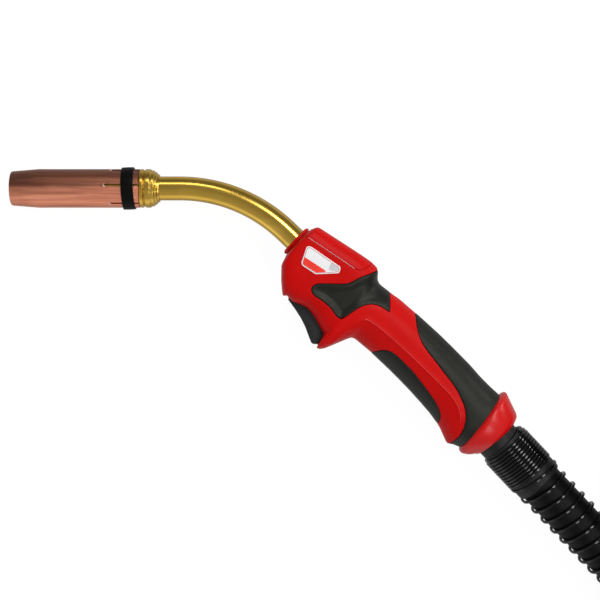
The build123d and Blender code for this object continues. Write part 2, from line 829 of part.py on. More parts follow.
contacts = {}
for letter, place in CONTACT_PLACES.items():
    with BuildPart() as contact_pin:
        with BuildSketch(contact_plane.offset(12)):
            with Locations(place):
                Circle(CONTACT_R)
        extrude(amount=21)
        chamfer(contact_pin.faces().sort_by(Axis.Y)[0].edges(), 0.5)
    with BuildPart() as contact_spring:
        with BuildSketch(contact_plane.offset(0.2)):
            with Locations(place):
                Circle(CONTACT_R - 0.1)
                Circle(CONTACT_R - 0.8, mode=Mode.SUBTRACT)
        extrude(amount=11.6)
    contacts[f"contact_pin_{letter}"] = contact_pin
    contacts[f"contact_spring_{letter}"] = contact_spring

with BuildPart() as centre_pin:
    add(
        turned(
            PLUG,
            [
                (60.2, PIN_BORE_R),
                (60.2, PIN_SHANK_R),
                (INSULATOR_FACE, PIN_SHANK_R),
                (INSULATOR_FACE, PIN_R),
                (117, PIN_R),
                (117, 4.1),
                (119, 4.1),
                (119, PIN_R),
                (121, PIN_R),
                (122, 4),
                (122, PIN_BORE_R),
            ],
        )
    )

with BuildPart() as pin_o_ring:
    add(tube(PLUG, 117.2, 118.8, PIN_R - 0.02, 4.15))

with BuildPart() as coupling_nut:
    add(
        turned(
            PLUG,
            [
                (90.4, 15.55),
                (90.4, 22.4),
                (92, 24),
                (116, 24),
                (118, 22.4),
                (NUT_FRONT, 22.4),
                (NUT_FRONT, 19.8),
                (100, 19.8),
                (100, 15.55),
            ],
        )
    )
    with BuildSketch(across(PLUG, 91)):
        with PolarLocations(25.4, 12):
            Circle(2.4)
    extrude(amount=26, mode=Mode.SUBTRACT)

# ---------------------------------------------------------------- write the pieces
pieces = {
    "gas_nozzle": gas_nozzle,
    "nozzle_ring": nozzle_ring,
    "contact_tip": contact_tip,
    "tip_holder": tip_holder,
    "gas_diffuser": gas_diffuser,
    "neck_head": neck_head,
    **neck_pieces,
    "front_collar": front_collar,
    **split_pieces,
    "top_cover": top_cover,
    "badge_left": badge_left,
    "badge_right": badge_right,
    "rear_collar": rear_collar,
    "shell_screws": shell_screws,
    "neck_clamp": neck_clamp,
    "power_block": power_block,
    "power_cable": power_cable,
    "cable_sleeve": cable_sleeve,
    "trigger": trigger,
    "trigger_pin": trigger_pin,
    "trigger_spring": trigger_spring,
    "microswitch": microswitch,
    "switch_plunger": switch_plunger,
    "switch_leads": switch_leads,
    "swivel_ball": swivel_ball,
    "hose_cuff": hose_cuff,
    "hose_end_sleeve": hose_end_sleeve,
    "bend_spring": bend_spring,
    "hose": hose,
    "hose_coil": hose_coil,
    "hose_tail": hose_tail,
    "plug_spring": plug_spring,
    "plug_housing_top": plug_housing_top,
    "plug_housing_bottom": plug_housing_bottom,
    "plug_screws": plug_screws,
    "plug_cable_end": plug_cable_end,
    "plug_body": plug_body,
    "plug_insulator": plug_insulator,
    **contacts,
    "centre_pin": centre_pin,
    "pin_o_ring": pin_o_ring,
    "coupling_nut": coupling_nut,
}
for name, piece in pieces.items():
    piece.part.label = name
    export_step(piece.part, f"parts/{name}.step")
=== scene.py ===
import json
from math import ceil, cos, degrees, pi, radians, sin, tan

import bmesh
import bpy
import numpy as np
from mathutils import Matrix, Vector
from mathutils.geometry import delaunay_2d_cdt
from mathutils.kdtree import KDTree


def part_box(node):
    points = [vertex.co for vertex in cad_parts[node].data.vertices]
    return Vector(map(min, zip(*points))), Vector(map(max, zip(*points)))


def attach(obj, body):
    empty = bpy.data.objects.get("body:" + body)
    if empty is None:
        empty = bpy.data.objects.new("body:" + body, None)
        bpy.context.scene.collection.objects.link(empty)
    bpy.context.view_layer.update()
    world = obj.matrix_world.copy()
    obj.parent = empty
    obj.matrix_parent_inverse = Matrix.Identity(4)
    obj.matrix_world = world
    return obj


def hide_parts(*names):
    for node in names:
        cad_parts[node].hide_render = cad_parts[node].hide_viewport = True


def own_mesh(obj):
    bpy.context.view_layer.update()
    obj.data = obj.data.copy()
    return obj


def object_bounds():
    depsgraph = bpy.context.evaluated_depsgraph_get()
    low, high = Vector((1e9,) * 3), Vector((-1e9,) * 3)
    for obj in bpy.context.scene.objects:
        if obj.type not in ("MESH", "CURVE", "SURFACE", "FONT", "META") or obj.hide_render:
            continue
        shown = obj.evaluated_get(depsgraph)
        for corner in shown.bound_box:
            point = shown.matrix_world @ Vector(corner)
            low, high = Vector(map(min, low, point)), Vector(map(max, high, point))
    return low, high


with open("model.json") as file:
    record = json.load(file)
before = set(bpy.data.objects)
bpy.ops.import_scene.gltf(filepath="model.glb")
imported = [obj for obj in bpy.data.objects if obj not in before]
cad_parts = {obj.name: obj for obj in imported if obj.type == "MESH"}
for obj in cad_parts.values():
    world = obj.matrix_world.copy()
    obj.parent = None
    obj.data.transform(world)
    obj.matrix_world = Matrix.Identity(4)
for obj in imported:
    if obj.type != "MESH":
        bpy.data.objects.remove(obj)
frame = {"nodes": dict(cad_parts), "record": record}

cad_box = [list(corner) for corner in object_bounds()]
scene = bpy.context.scene


def placed(name, data):
    """A new object of some data, in the scene."""
    made = bpy.data.objects.new(name, data)
    scene.collection.objects.link(made)
    return made


# Lengths are in millimetres, and angles in degrees, until a Place turns them into the row frame.
# The row frame itself, the lamps and the textures are in metres.
MM = 0.001
UPWARD = np.array([0, 0, 1.0])


# ---------------- places
class Place:
    """Axes in the row frame, measured in millimetres."""

    def __init__(self, origin, x, z=(0, 0, 1)):
        self.origin = Vector(origin)
        self.x = Vector(x).normalized()
        self.z = Vector(z).normalized()
        self.y = self.z.cross(self.x)

    def at(self, x, y=0.0, z=0.0):
        return self.origin + MM * (float(x) * self.x + float(y) * self.y + float(z) * self.z)

    def array(self, points):
        axes = np.array([self.x, self.y, self.z])
        return np.array(self.origin) + MM * np.asarray(points, float) @ axes


nozzle_low, nozzle_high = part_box("gas_nozzle")
nozzle_middle = (nozzle_low + nozzle_high) / 2
TORCH = Place((nozzle_low.x, nozzle_middle.y, nozzle_middle.z), (1, 0, 0))
HANDLE_DROP, HOSE_DROP, HOSE_SLOPE = radians(43.8), radians(46.5), radians(1.5)
NECK_CORNER = 149.2  # where the torch's axis and the handle's meet
HANDLE = Place(TORCH.at(NECK_CORNER), (cos(HANDLE_DROP), -sin(HANDLE_DROP), 0))
HOSE = Place(
    HANDLE.at(219, -2),
    (cos(HOSE_DROP) * cos(HOSE_SLOPE), -sin(HOSE_DROP) * cos(HOSE_SLOPE), -sin(HOSE_SLOPE)),
    (cos(HOSE_DROP) * sin(HOSE_SLOPE), -sin(HOSE_DROP) * sin(HOSE_SLOPE), cos(HOSE_SLOPE)),
)
COIL_OUTER, COIL_INNER = 170.0, 142.0
COIL_UPPER = (COIL_OUTER + COIL_INNER) / 2
COIL_START = 212.0
meeting = HOSE.at(COIL_START)
COIL = Place(
    (meeting.x + MM * COIL_OUTER * sin(HOSE_DROP), meeting.y + MM * COIL_OUTER * cos(HOSE_DROP), 0),
    (1, 0, 0),
)
PLUG_PLACE = (-156.5, -37.5, 54)
PLUG = Place(COIL.at(*PLUG_PLACE), (0, -1, 0))

# ---------------- camera and light
CAMERA_DISTANCE, VIEW_WIDTH, VIEW_MIDDLE, SENSOR = 900.0, 390.0, (187.2, -72.5), 36.0
camera_data = bpy.data.cameras.new("camera")
camera_data.sensor_width = SENSOR
camera_data.lens = SENSOR * CAMERA_DISTANCE / VIEW_WIDTH
camera_data.clip_start = 0.01
camera = placed("camera", camera_data)
camera.location = TORCH.at(*VIEW_MIDDLE, CAMERA_DISTANCE)
scene.camera = camera
scene.view_settings.view_transform = "Standard"


def node(tree, kind, inputs=None, **settings):
    """A shader node.  Each of its inputs, by name or number, is a value or another node's output."""
    made = tree.nodes.new(kind)
    for key, value in settings.items():
        setattr(made, key, value)
    for socket, value in (inputs or {}).items():
        if isinstance(value, bpy.types.NodeSocket):
            tree.links.new(value, made.inputs[socket])
        else:
            made.inputs[socket].default_value = value
    return made


def maths(tree, operation, first, second):
    """The output of a Math node."""
    return node(tree, "ShaderNodeMath", {0: first, 1: second}, operation=operation).outputs[0]


# Name, place, size, power in watts, and whether a gloss shows the lamp.
LAMPS = [
    ("key_light", (0.5, 0.68, 1.08), (0.45, 0.45), 2.6, True),
    ("key_core", (0.5, 0.67, 1.06), (0.22, 0.22), 3.0, True),
    ("top_light", (-0.34, 1.01, 0.93), (1.2, 0.8), 1.8, False),
    ("key_strip", (-0.05, 0.94, 0.87), (0.4, 0.26), 1.3, True),
    ("right_strip", (1.05, 0.42, 0.26), (0.4, 0.06), 2.0, True),
    ("right_core", (0.87, 0.1, 1.09), (0.27, 0.27), 3.0, True),
    ("low_box", (0.5, -0.48, 1.1), (0.3, 0.3), 2.4, True),
    ("front_light", (-0.42, -1.12, 0.72), (0.8, 0.8), 1.2, False),
]
LAMPS_FACE = Vector((0, 0, 0.02))
for name, place, size, power, in_gloss in LAMPS:
    data = bpy.data.lights.new(name, "AREA")
    data.shape = "RECTANGLE"
    data.size, data.size_y = size
    data.energy = power
    lamp = placed(name, data)
    lamp.location = place
    lamp.rotation_euler = (LAMPS_FACE - lamp.location).to_track_quat("-Z", "Y").to_euler()
    lamp.visible_glossy = in_gloss

FILL = 0.5
# How bright the studio looks in a gloss, by the direction's angle from overhead towards the top of the
# view (+) or its foot (-).  It is plain white to the camera.
STUDIO = [
    (-180, 0.6), (-130, 0.45), (-115, 0.7), (-100, 1.2), (-84, 1.1), (-68, 0.6), (-40, 0.52), (-20, 0.46),
    (0, 0.36), (16, 0.3), (35, 0.34), (52, 0.28), (76, 0.16), (104, 0.4), (120, 0.7), (150, 0.4), (180, 0.6),
]
STUDIO_TOP = 2.0  # above every value in it, because a colour ramp goes no higher than 1
WHITE = (1, 1, 1, 1)
world = bpy.data.worlds.new("studio")
scene.world = world
world.use_nodes = True
tree = world.node_tree
tree.nodes.clear()
path = node(tree, "ShaderNodeLightPath").outputs
seen = maths(tree, "MAXIMUM", path["Is Camera Ray"], path["Is Glossy Ray"])
seen = maths(tree, "MAXIMUM", seen, path["Is Transmission Ray"])
direction = node(tree, "ShaderNodeTexCoord").outputs["Generated"]
parts = node(tree, "ShaderNodeSeparateXYZ", {0: direction}).outputs
lean = maths(tree, "ARCTAN2", parts["Y"], parts["Z"])
around = node(tree, "ShaderNodeMapRange", {"Value": lean, "From Min": -pi, "From Max": pi})
walls = node(tree, "ShaderNodeValToRGB", {0: around.outputs[0]})
stops = walls.color_ramp.elements
for degree, value in STUDIO:
    where = (degree + 180) / 360
    stop = stops[0] if where == 0 else stops[-1] if where == 1 else stops.new(where)
    stop.color = (*[value / STUDIO_TOP] * 3, 1)
studio = maths(tree, "MULTIPLY", walls.outputs[0], STUDIO_TOP)
shown = {"Factor": path["Is Glossy Ray"], "A": 1.0, "B": studio}
level = node(tree, "ShaderNodeMix", shown, data_type="FLOAT")
fill = node(tree, "ShaderNodeBackground", {"Color": WHITE, "Strength": FILL})
white = node(tree, "ShaderNodeBackground", {"Color": WHITE, "Strength": level.outputs["Result"]})
either = node(tree, "ShaderNodeMixShader", {0: seen, 1: fill.outputs[0], 2: white.outputs[0]})
node(tree, "ShaderNodeOutputWorld", {"Surface": either.outputs[0]})


# ---------------- materials
def principled(name, **sockets):
    made = bpy.data.materials.new(name)
    made.use_nodes = True
    shader = made.node_tree.nodes["Principled BSDF"]
    for socket, value in sockets.items():
        shader.inputs[socket.replace("_", " ")].default_value = value
    return made, made.node_tree, shader


def noise(tree, where, scale, detail, roughness=0.5):
    inputs = {"Vector": where, "Scale": scale, "Detail": detail, "Roughness": roughness}
    return node(tree, "ShaderNodeTexNoise", inputs).outputs["Fac"]


def spread(tree, value, start, end, low, high):
    """A value from start to end, as one from low to high."""
    inputs = {"Value": value, "From Min": start, "From Max": end, "To Min": low, "To Max": high}
    return node(tree, "ShaderNodeMapRange", inputs).outputs[0]


def finish(
    name, dark, light, rough, shine=0.5, patch=45.0, grain=1400.0, relief=0.05, stretch=(1, 1, 1), **sockets
):
    """A moulded, turned or drawn surface: cloudy colour, uneven gloss and a fine grain."""
    made, tree, shader = principled(name, Specular_IOR_Level=shine, **sockets)
    place = node(tree, "ShaderNodeTexCoord").outputs["Object"]
    scaled = node(tree, "ShaderNodeMapping", {"Vector": place, "Scale": stretch}).outputs[0]
    cloud = spread(tree, noise(tree, scaled, patch, 4.0, 0.6), 0.3, 0.7, 0, 1)
    fine = noise(tree, scaled, grain, 3.0, 0.7)
    tint = node(tree, "ShaderNodeMix", {0: cloud, 6: (*dark, 1), 7: (*light, 1)}, data_type="RGBA")
    bump = node(tree, "ShaderNodeBump", {"Height": fine, "Strength": relief, "Distance": 0.0004})
    tree.links.new(tint.outputs[2], shader.inputs["Base Color"])
    tree.links.new(spread(tree, fine, 0, 1, *rough), shader.inputs["Roughness"])
    tree.links.new(bump.outputs[0], shader.inputs["Normal"])
    return made


METAL = {"Metallic": 1.0}
RED = finish(
    "red_plastic", (0.435, 0.0014, 0.0011), (0.50, 0.0024, 0.0020), (0.34, 0.44), 0.08, grain=1100
)
RED_POLISHED = finish(
    "polished_red", (0.45, 0.0014, 0.0011), (0.52, 0.0024, 0.0020), (0.28, 0.32), 0.3,
    grain=1100, relief=0.008,
)
PAD = finish(
    "pad_rubber", (0.0036, 0.0040, 0.0032), (0.0072, 0.0078, 0.0066), (0.38, 0.52), 0.25,
    grain=1600, relief=0.12, Specular_Tint=(1, 0.985, 0.88, 1),
)
TRIGGER = finish(
    "trigger_plastic", (0.008, 0.009, 0.009), (0.013, 0.0145, 0.0145), (0.4, 0.55), 0.3,
    grain=2200, relief=0.2,
)
CUFF = finish(
    "cuff_rubber", (0.006, 0.006, 0.006), (0.010, 0.010, 0.0098), (0.36, 0.5), 0.2, grain=1800, relief=0.12
)
HOSE_RUBBER = finish(
    "hose_rubber", (0.0012, 0.0012, 0.0012), (0.0028, 0.0028, 0.0026), (0.4, 0.52), 0.11,
    grain=1500, relief=0.06,
)
WIRE = finish(
    "spring_coating", (0.002, 0.002, 0.002), (0.0045, 0.0045, 0.0045), (0.08, 0.14), 0.27,
    grain=900, relief=0.04,
)
RING = finish(
    "ring_plastic", (0.0020, 0.0020, 0.0018), (0.0034, 0.0034, 0.0030), (0.36, 0.5), 0.06,
    grain=1600, relief=0.08,
)
BRASS = finish(
    "brass", (0.52, 0.325, 0.050), (0.74, 0.475, 0.085), (0.18, 0.22),
    patch=60, grain=700, relief=0.004, stretch=(0.3, 1, 1), **METAL,
)
TURNED = finish(
    "turned_brass", (0.48, 0.30, 0.048), (0.68, 0.44, 0.085), (0.20, 0.25), grain=900, relief=0.003, **METAL
)
COPPER = finish(
    "copper", (0.52, 0.175, 0.10), (0.90, 0.36, 0.225), (0.3, 0.46),
    patch=300, grain=1500, relief=0.5, stretch=(0.05, 1.5, 1.5), **METAL,
)


def painted_shade_side(made, low, high, share):
    """Painted shade: darkens a metal towards one side, standing in for the darker reflection seen on that
    side.  low and high are row-frame heights in y.
    """
    tree = made.node_tree
    colour = tree.nodes["Principled BSDF"].inputs["Base Color"]
    place = node(tree, "ShaderNodeTexCoord").outputs["Object"]
    height = node(tree, "ShaderNodeSeparateXYZ", {0: place}).outputs["Y"]
    wander = spread(tree, noise(tree, place, 60.0, 3.0), 0, 1, -0.0015, 0.0015)
    side = spread(tree, maths(tree, "ADD", height, wander), low, high, 1.0, share)
    inputs = {0: colour.links[0].from_socket, "Scale": side}
    tree.links.new(node(tree, "ShaderNodeVectorMath", inputs, operation="SCALE").outputs[0], colour)


# Painted shade: the copper's colour falls to 0.36 of itself towards +y, the top of the view.
painted_shade_side(COPPER, TORCH.at(0, -1.0).y, TORCH.at(0, 1.5).y, 0.36)
BURR = finish("bright_copper", (0.80, 0.46, 0.34), (0.92, 0.66, 0.54), (0.3, 0.45), **METAL)
CONDUCTOR = finish("bare_copper", (0.50, 0.20, 0.10), (0.66, 0.30, 0.17), (0.3, 0.45), **METAL)
STEEL = finish("steel", (0.42, 0.42, 0.43), (0.58, 0.58, 0.58), (0.2, 0.35), **METAL)
CERAMIC = finish("white_ceramic", (0.74, 0.72, 0.66), (0.82, 0.80, 0.75), (0.35, 0.5))
PLATE = finish("badge_white", (0.72, 0.72, 0.73), (0.75, 0.75, 0.76), (0.33, 0.37), relief=0.005)
PLATE_GREY = finish("badge_grey", (0.50, 0.50, 0.52), (0.60, 0.60, 0.62), (0.25, 0.35), relief=0.02)
PLATE_LINE = finish("badge_line_paint", (0.50, 0.10, 0.09), (0.58, 0.14, 0.13), (0.25, 0.35), relief=0.02)
PLATE_RED = finish("badge_red", (0.74, 0.030, 0.016), (0.80, 0.040, 0.022), (0.25, 0.35), relief=0.02)
# Painted highlight: a pale pink colour for the bead along the cover's seam, standing in for the light that
# the seam's edge catches.
SEAM_HIGHLIGHT = finish("seam_highlight_paint", (0.62, 0.36, 0.36), (0.74, 0.50, 0.50), (0.2, 0.3), relief=0.02)
# Painted highlight: a lighter, pinker red for the bead along the shell's crease, standing in for the light
# that the crease catches.
RIDGE_HIGHLIGHT = finish("ridge_highlight_red", (0.56, 0.022, 0.020), (0.62, 0.032, 0.030), (0.3, 0.4), relief=0.02)
SWITCH = finish("switch_plastic", (0.03, 0.03, 0.035), (0.05, 0.05, 0.055), (0.4, 0.55), 0.3)
INSULATION = finish("insulation", (0.010, 0.010, 0.010), (0.018, 0.018, 0.018), (0.45, 0.6), 0.3, grain=1500)
SEAL = finish("seal_rubber", (0.007, 0.007, 0.007), (0.012, 0.012, 0.012), (0.5, 0.65), 0.3, grain=2000)

# The floor shades and takes shadows as a pale one, and looks as white as the backdrop.
FLOOR_REACH, FLOOR_GAP, FLOOR_WHITE, PAPER_SHARE, PAPER_WHITE = 4.0, 0.0002, 0.93, 0.93, 1.03
floor_mesh = bpy.data.meshes.new("floor")
corners = [(x * FLOOR_REACH, y * FLOOR_REACH, 0) for x, y in ((-1, -1), (1, -1), (1, 1), (-1, 1))]
floor_mesh.from_pydata(corners, [], [(0, 1, 2, 3)])
floor = placed("floor", floor_mesh)
floor.location.z = cad_box[0][2] - FLOOR_GAP
floor.visible_glossy = False  # a gloss shows the studio there, which is as pale
floor_paint, tree, shader = principled(
    "floor_paint", Base_Color=(*[FLOOR_WHITE] * 3, 1), Roughness=0.9, Specular_IOR_Level=0.0
)
camera_ray = node(tree, "ShaderNodeLightPath").outputs["Is Camera Ray"]
share = maths(tree, "MULTIPLY", camera_ray, PAPER_SHARE)
paper = node(tree, "ShaderNodeEmission", {"Color": WHITE, "Strength": PAPER_WHITE})
blend = node(tree, "ShaderNodeMixShader", {0: share, 1: shader.outputs[0], 2: paper.outputs[0]})
tree.links.new(blend.outputs[0], tree.nodes["Material Output"].inputs["Surface"])
floor_mesh.materials.append(floor_paint)


# ---------------- pieces
def piece(name, vertices, faces, material, body, slot, replaces=(), crease=40):
    """A mesh from row-frame points, riding on a body."""
    mesh = bpy.data.meshes.new(name)
    mesh.from_pydata([tuple(v) for v in vertices], [], [tuple(int(i) for i in f) for f in faces])
    mesh.validate()
    mesh.materials.append(material)
    mesh.shade_smooth()
    mesh.set_sharp_from_angle(angle=radians(crease))
    made = placed(name, mesh)
    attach(made, body)
    if replaces:
        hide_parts(*replaces)
    return closed_up(made)


def closed_up(made):
    """Merges doubled points, drops empty faces and turns all faces outwards."""
    work = bmesh.new()
    work.from_mesh(made.data)
    bmesh.ops.remove_doubles(work, verts=work.verts, dist=1e-7)
    bmesh.ops.dissolve_degenerate(work, edges=work.edges, dist=1e-7)
    bmesh.ops.recalc_face_normals(work, faces=work.faces)
    work.to_mesh(made.data)
    work.free()
    return made


def joined(rings, loop):
    """Faces from each ring of points to the next: round to the first ring again, or closed by two ends."""
    around = len(rings[0])
    a_point = [(Vector(ring[1]) - Vector(ring[0])).length < 1e-9 for ring in rings]
    faces = []
    for i in range(len(rings) if loop else len(rings) - 1):
        j = (i + 1) % len(rings)
        if a_point[i] and a_point[j]:
            continue
        for k in range(around):
            m = (k + 1) % around
            faces.append((i * around + k, i * around + m, j * around + m, j * around + k))
    if not loop:
        last = (len(rings) - 1) * around
        faces += [tuple(range(around))[::-1], tuple(range(last, last + around))]
    return faces


def ringed(name, rings, loop, *look):
    """A piece of rings of points.  look is piece's material, body, slot, replaced nodes and crease."""
    return piece(name, [point for ring in rings for point in ring], joined(rings, loop), *look)


def rounded(points, radius, steps=3):
    """The closed outline with its corners rounded.  A point's third number is its own radius."""
    count = len(points)
    made = []
    for i, point in enumerate(points):
        here = np.array(point[:2], float)
        own = point[2] if len(point) > 2 else radius
        before = np.array(points[i - 1][:2], float) - here
        after = np.array(points[(i + 1) % count][:2], float) - here
        to_before, to_after = before / np.linalg.norm(before), after / np.linalg.norm(after)
        half = np.arccos(np.clip(to_before @ to_after, -1, 1)) / 2
        if own <= 0 or half > radians(NEARLY_STRAIGHT):
            made.append(here)
            continue
        cut = min(own / tan(half), 0.45 * np.linalg.norm(before), 0.45 * np.linalg.norm(after))
        first, last = here + cut * to_before, here + cut * to_after
        for k in range(steps + 1):
            t = k / steps
            made.append((1 - t) ** 2 * first + 2 * t * (1 - t) * here + t**2 * last)
    return made


NEARLY_STRAIGHT = 85  # degrees: half the angle at a corner that needs no rounding


def turns_of(count):
    return [2 * pi * k / count for k in range(count)]


def circle(radius, count=12):
    return [(radius * cos(a), radius * sin(a)) for a in turns_of(count)]


def lathe(name, place, profile, material, body, slot, replaces=(), fillet=0.25, around=96):
    """A closed profile of (along, radius) points turned about a place's x axis."""
    outline = rounded(profile, fillet)
    rings = [[place.at(x, r * cos(a), r * sin(a)) for a in turns_of(around)] for x, r in outline]
    return ringed(name, rings, True, material, body, slot, replaces)


def unit(vectors):
    return vectors / np.linalg.norm(vectors, axis=-1, keepdims=True)


def swept(name, line, section, material, body, slot, replaces=(), outward=None):
    """A tube whose cross-section follows the points of a line in the row frame.  The section's first
    axis carries on along the line, or keeps to the outward directions when they are given."""
    line = np.asarray(line, float)
    section = np.asarray(section, float) * MM
    ahead = unit(np.gradient(line, axis=0))
    side = unit(np.cross(UPWARD, ahead[0]))
    rings = []
    for i, (point, forward) in enumerate(zip(line, ahead)):
        if outward is not None:
            side = outward[i]
        side = unit(side - (side @ forward) * forward)
        lift = np.cross(forward, side)
        rings.append([point + a * side + b * lift for a, b in section])
    return ringed(name, rings, False, material, body, slot, replaces)


# ---------------- the hose
HOSE_R, EXIT, STEP = 13.5, 17.3, 22.5
START_OFFSET, MEETING_OFFSET = 0.9, 0.6
SWELL = 1.075  # the hose is a little thicker near the torch
TO_PLUG = [(-57, 146, 40), (-106.5, 115, 46), (-140.5, 68.5, 51.5), (-156.5, 12.5, 54), PLUG_PLACE]
FIRST_ANGLE = -90 - degrees(HOSE_DROP)
# Where along the coil, in degrees, its turns draw in and its last one widens and rises.
DRAW_IN_1, DRAW_IN_2, COIL_END = (290, 360), (650, 720), 935
LEVEL_OFF, WIDEN, RISE = (-20, 40), (722, 830), (722, 826)
NARROWED, START_LIFT, TOP_LIFT = 114, 1.95, 23.1


def ease(value, low=0.0, high=1.0):
    """0 up to low and 1 from high, with a smooth change between them."""
    t = np.clip((value - low) / (high - low), 0, 1)
    return t * t * (3 - 2 * t)


def coil_radius(turned):
    """The coil's radius after so many degrees: two turns, each drawing in beside the last, then up."""
    drawn = ease(turned, *DRAW_IN_1) + ease(turned, *DRAW_IN_2)
    return COIL_OUTER - (COIL_OUTER - COIL_INNER) * drawn + (COIL_UPPER - NARROWED) * ease(turned, *WIDEN)


def coil_height(turned):
    return HOSE_R + START_LIFT * (1 - ease(turned, *LEVEL_OFF)) + TOP_LIFT * ease(turned, *RISE)


meeting_corner = COIL_START - COIL_OUTER * tan(radians(STEP / 2))
route = [HOSE.at(EXIT, START_OFFSET), HOSE.at(meeting_corner, MEETING_OFFSET)]
turned = STEP / 2
while turned < COIL_END:
    reach = coil_radius(turned) / cos(radians(STEP / 2))
    angle = radians(FIRST_ANGLE + turned)
    route.append(COIL.at(reach * cos(angle), reach * sin(angle), coil_height(turned)))
    turned += STEP
route += [COIL.at(*point) for point in TO_PLUG]

hose_curve = bpy.data.curves.new("hose_tube", "CURVE")
hose_curve.dimensions = "3D"
spline = hose_curve.splines.new("NURBS")
spline.points.add(len(route) - 1)
for control, point in zip(spline.points, route):
    control.co = (*point, 1)
for control in spline.points[:2]:
    control.radius = SWELL
spline.order_u = 3
spline.use_endpoint_u = True
spline.resolution_u = hose_curve.resolution_u = 12
hose_curve.use_fill_caps = True
hose_tube = placed("hose_tube", hose_curve)
bpy.context.view_layer.update()
hose_line_mesh = bpy.data.meshes.new_from_object(hose_tube)
hose_line = np.array([v.co for v in hose_line_mesh.vertices], float)
hose_curve.bevel_depth = HOSE_R * MM
hose_curve.bevel_resolution = 8
hose_curve.materials.append(HOSE_RUBBER)
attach(hose_tube, "hose")
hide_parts("hose", "hose_coil", "hose_tail")


def run_along(line):
    """How far along a line each of its points is."""
    return np.concatenate([[0], np.cumsum(np.linalg.norm(np.diff(line, axis=0), axis=1))])


along_hose = run_along(hose_line) / MM


def on_hose(distance):
    """Points on the hose's line at distances from its start, in millimetres."""
    return np.stack([np.interp(distance, along_hose, hose_line[:, k]) for k in range(3)], axis=1)


WEAR = 0.74  # the wire's outer side is drawn flat to this share of its radius
SPRING_WIRE, STEPS_A_TURN = 1.0, 36


def spring(name, turns_at, start_turn, replaced):
    """A wire wound round the hose.  turns_at gives (distance, turns so far, radius) points."""
    distance, turns, radii = zip(*turns_at)
    counts = np.arange(0, turns[-1] + 1e-9, 1 / STEPS_A_TURN)
    stations = np.interp(counts, turns, distance)
    radius = np.interp(counts, turns, radii)[:, None]
    middle = on_hose(stations)
    forward = unit(on_hose(stations + 0.5) - on_hose(stations - 0.5))
    side = unit(np.cross(UPWARD, forward))
    lift = np.cross(forward, side)
    angle = start_turn - 2 * pi * counts
    outward = np.cos(angle)[:, None] * side + np.sin(angle)[:, None] * lift
    worn = [(min(x, WEAR * SPRING_WIRE), y) for x, y in circle(SPRING_WIRE, 16)]
    line = middle + MM * radius * outward
    return swept(name, line, worn, WIRE, "hose", "spring_black", [replaced], outward=outward)


CLOSE_RADIUS, OPEN_RADIUS, PLUG_RADIUS = 16.55, 15.9, 15.35
CLOSE_TURNS, CLOSE_PITCH, OPEN_PITCH, OPEN_TURNS = 11.5, 2.24, 9.0, 9.4
SLEEVE_RUN, SLEEVE_R = (26.2, 36.0), 16.3  # the thick end of the hose's sleeve, after the close turns
SPRING_FOOT, OPEN_START, TURNS_TO_OPEN = 1.2, SLEEVE_RUN[1] + 3.9, CLOSE_TURNS + 1.3
bend_spring = spring(
    "bend_spring_wire",
    [
        (SPRING_FOOT, 0, 15.4),
        (SPRING_FOOT + 1.5 * CLOSE_PITCH, 1.5, CLOSE_RADIUS),
        (SPRING_FOOT + CLOSE_TURNS * CLOSE_PITCH, CLOSE_TURNS, CLOSE_RADIUS),
        (SLEEVE_RUN[1] + 0.8, CLOSE_TURNS + 1, SLEEVE_R + 0.2),
        (OPEN_START, TURNS_TO_OPEN, OPEN_RADIUS),
        (OPEN_START + OPEN_PITCH * OPEN_TURNS, TURNS_TO_OPEN + OPEN_TURNS, OPEN_RADIUS),
    ],
    0.6,
    "bend_spring",
)
plug_turns = [(along_hose[-1] - 23, 0, PLUG_RADIUS), (along_hose[-1] - 1, 9.5, PLUG_RADIUS)]
plug_spring = spring("plug_spring_wire", plug_turns, 0.0, "plug_spring")
sleeve_place = Place(HOSE.at(EXIT, START_OFFSET), HOSE.x, HOSE.z)
sleeve = [(0, 13.6), (0, 14.9, 0.4), (SLEEVE_RUN[0], 14.9, 0.2), (SLEEVE_RUN[0], SLEEVE_R, 0.8)]
sleeve += [(SLEEVE_RUN[1], SLEEVE_R, 1.2), (SLEEVE_RUN[1], 13.6)]
end_sleeve = lathe(
    "hose_end_sleeve_tube", sleeve_place, sleeve, CUFF, "hose", "cuff_black", ["hose_end_sleeve"]
)

# ---------------- nozzle and neck
nozzle_profile = [
    (0, 9.1), (0, 10.7), (0.8, 11.15, 0), (18, 12.55, 4), (26, 12.5, 0), (83.2, 12.5), (83.2, 10.6),
    (60, 10.6), (59, 10.2), (22, 10.2), (10, 8.5), (0.6, 8.5),
]
nozzle = lathe("gas_nozzle_body", TORCH, nozzle_profile, COPPER, "nozzle", "copper", ["gas_nozzle"], 0.3, 144)
SLIT_ANGLES = [radians(84.5 + 60 * k) for k in range(6)]
SLIT_STARTS = [61.4, 64.7] * 3


def cut(target, blades):
    """Takes closed meshes away from a piece, and removes them."""
    bpy.context.view_layer.objects.active = target
    for blade in blades:
        change = target.modifiers.new("cut", "BOOLEAN")
        change.operation = "DIFFERENCE"
        change.solver = "EXACT"
        change.object = blade
    bpy.context.view_layer.update()
    result = bpy.data.meshes.new_from_object(target.evaluated_get(bpy.context.evaluated_depsgraph_get()))
    target.modifiers.clear()
    target.data = result
    for blade in blades:
        bpy.data.objects.remove(blade)


def bar(place, outline, low, high):
    """A closed prism of an outline in a place's x and y, for cutting."""
    rings = [[place.at(x, y, height) for x, y in outline] for height in (low, high)]
    mesh = bpy.data.meshes.new("blade")
    mesh.from_pydata([tuple(v) for v in rings[0] + rings[1]], [], joined(rings, False))
    return closed_up(placed("blade", mesh))


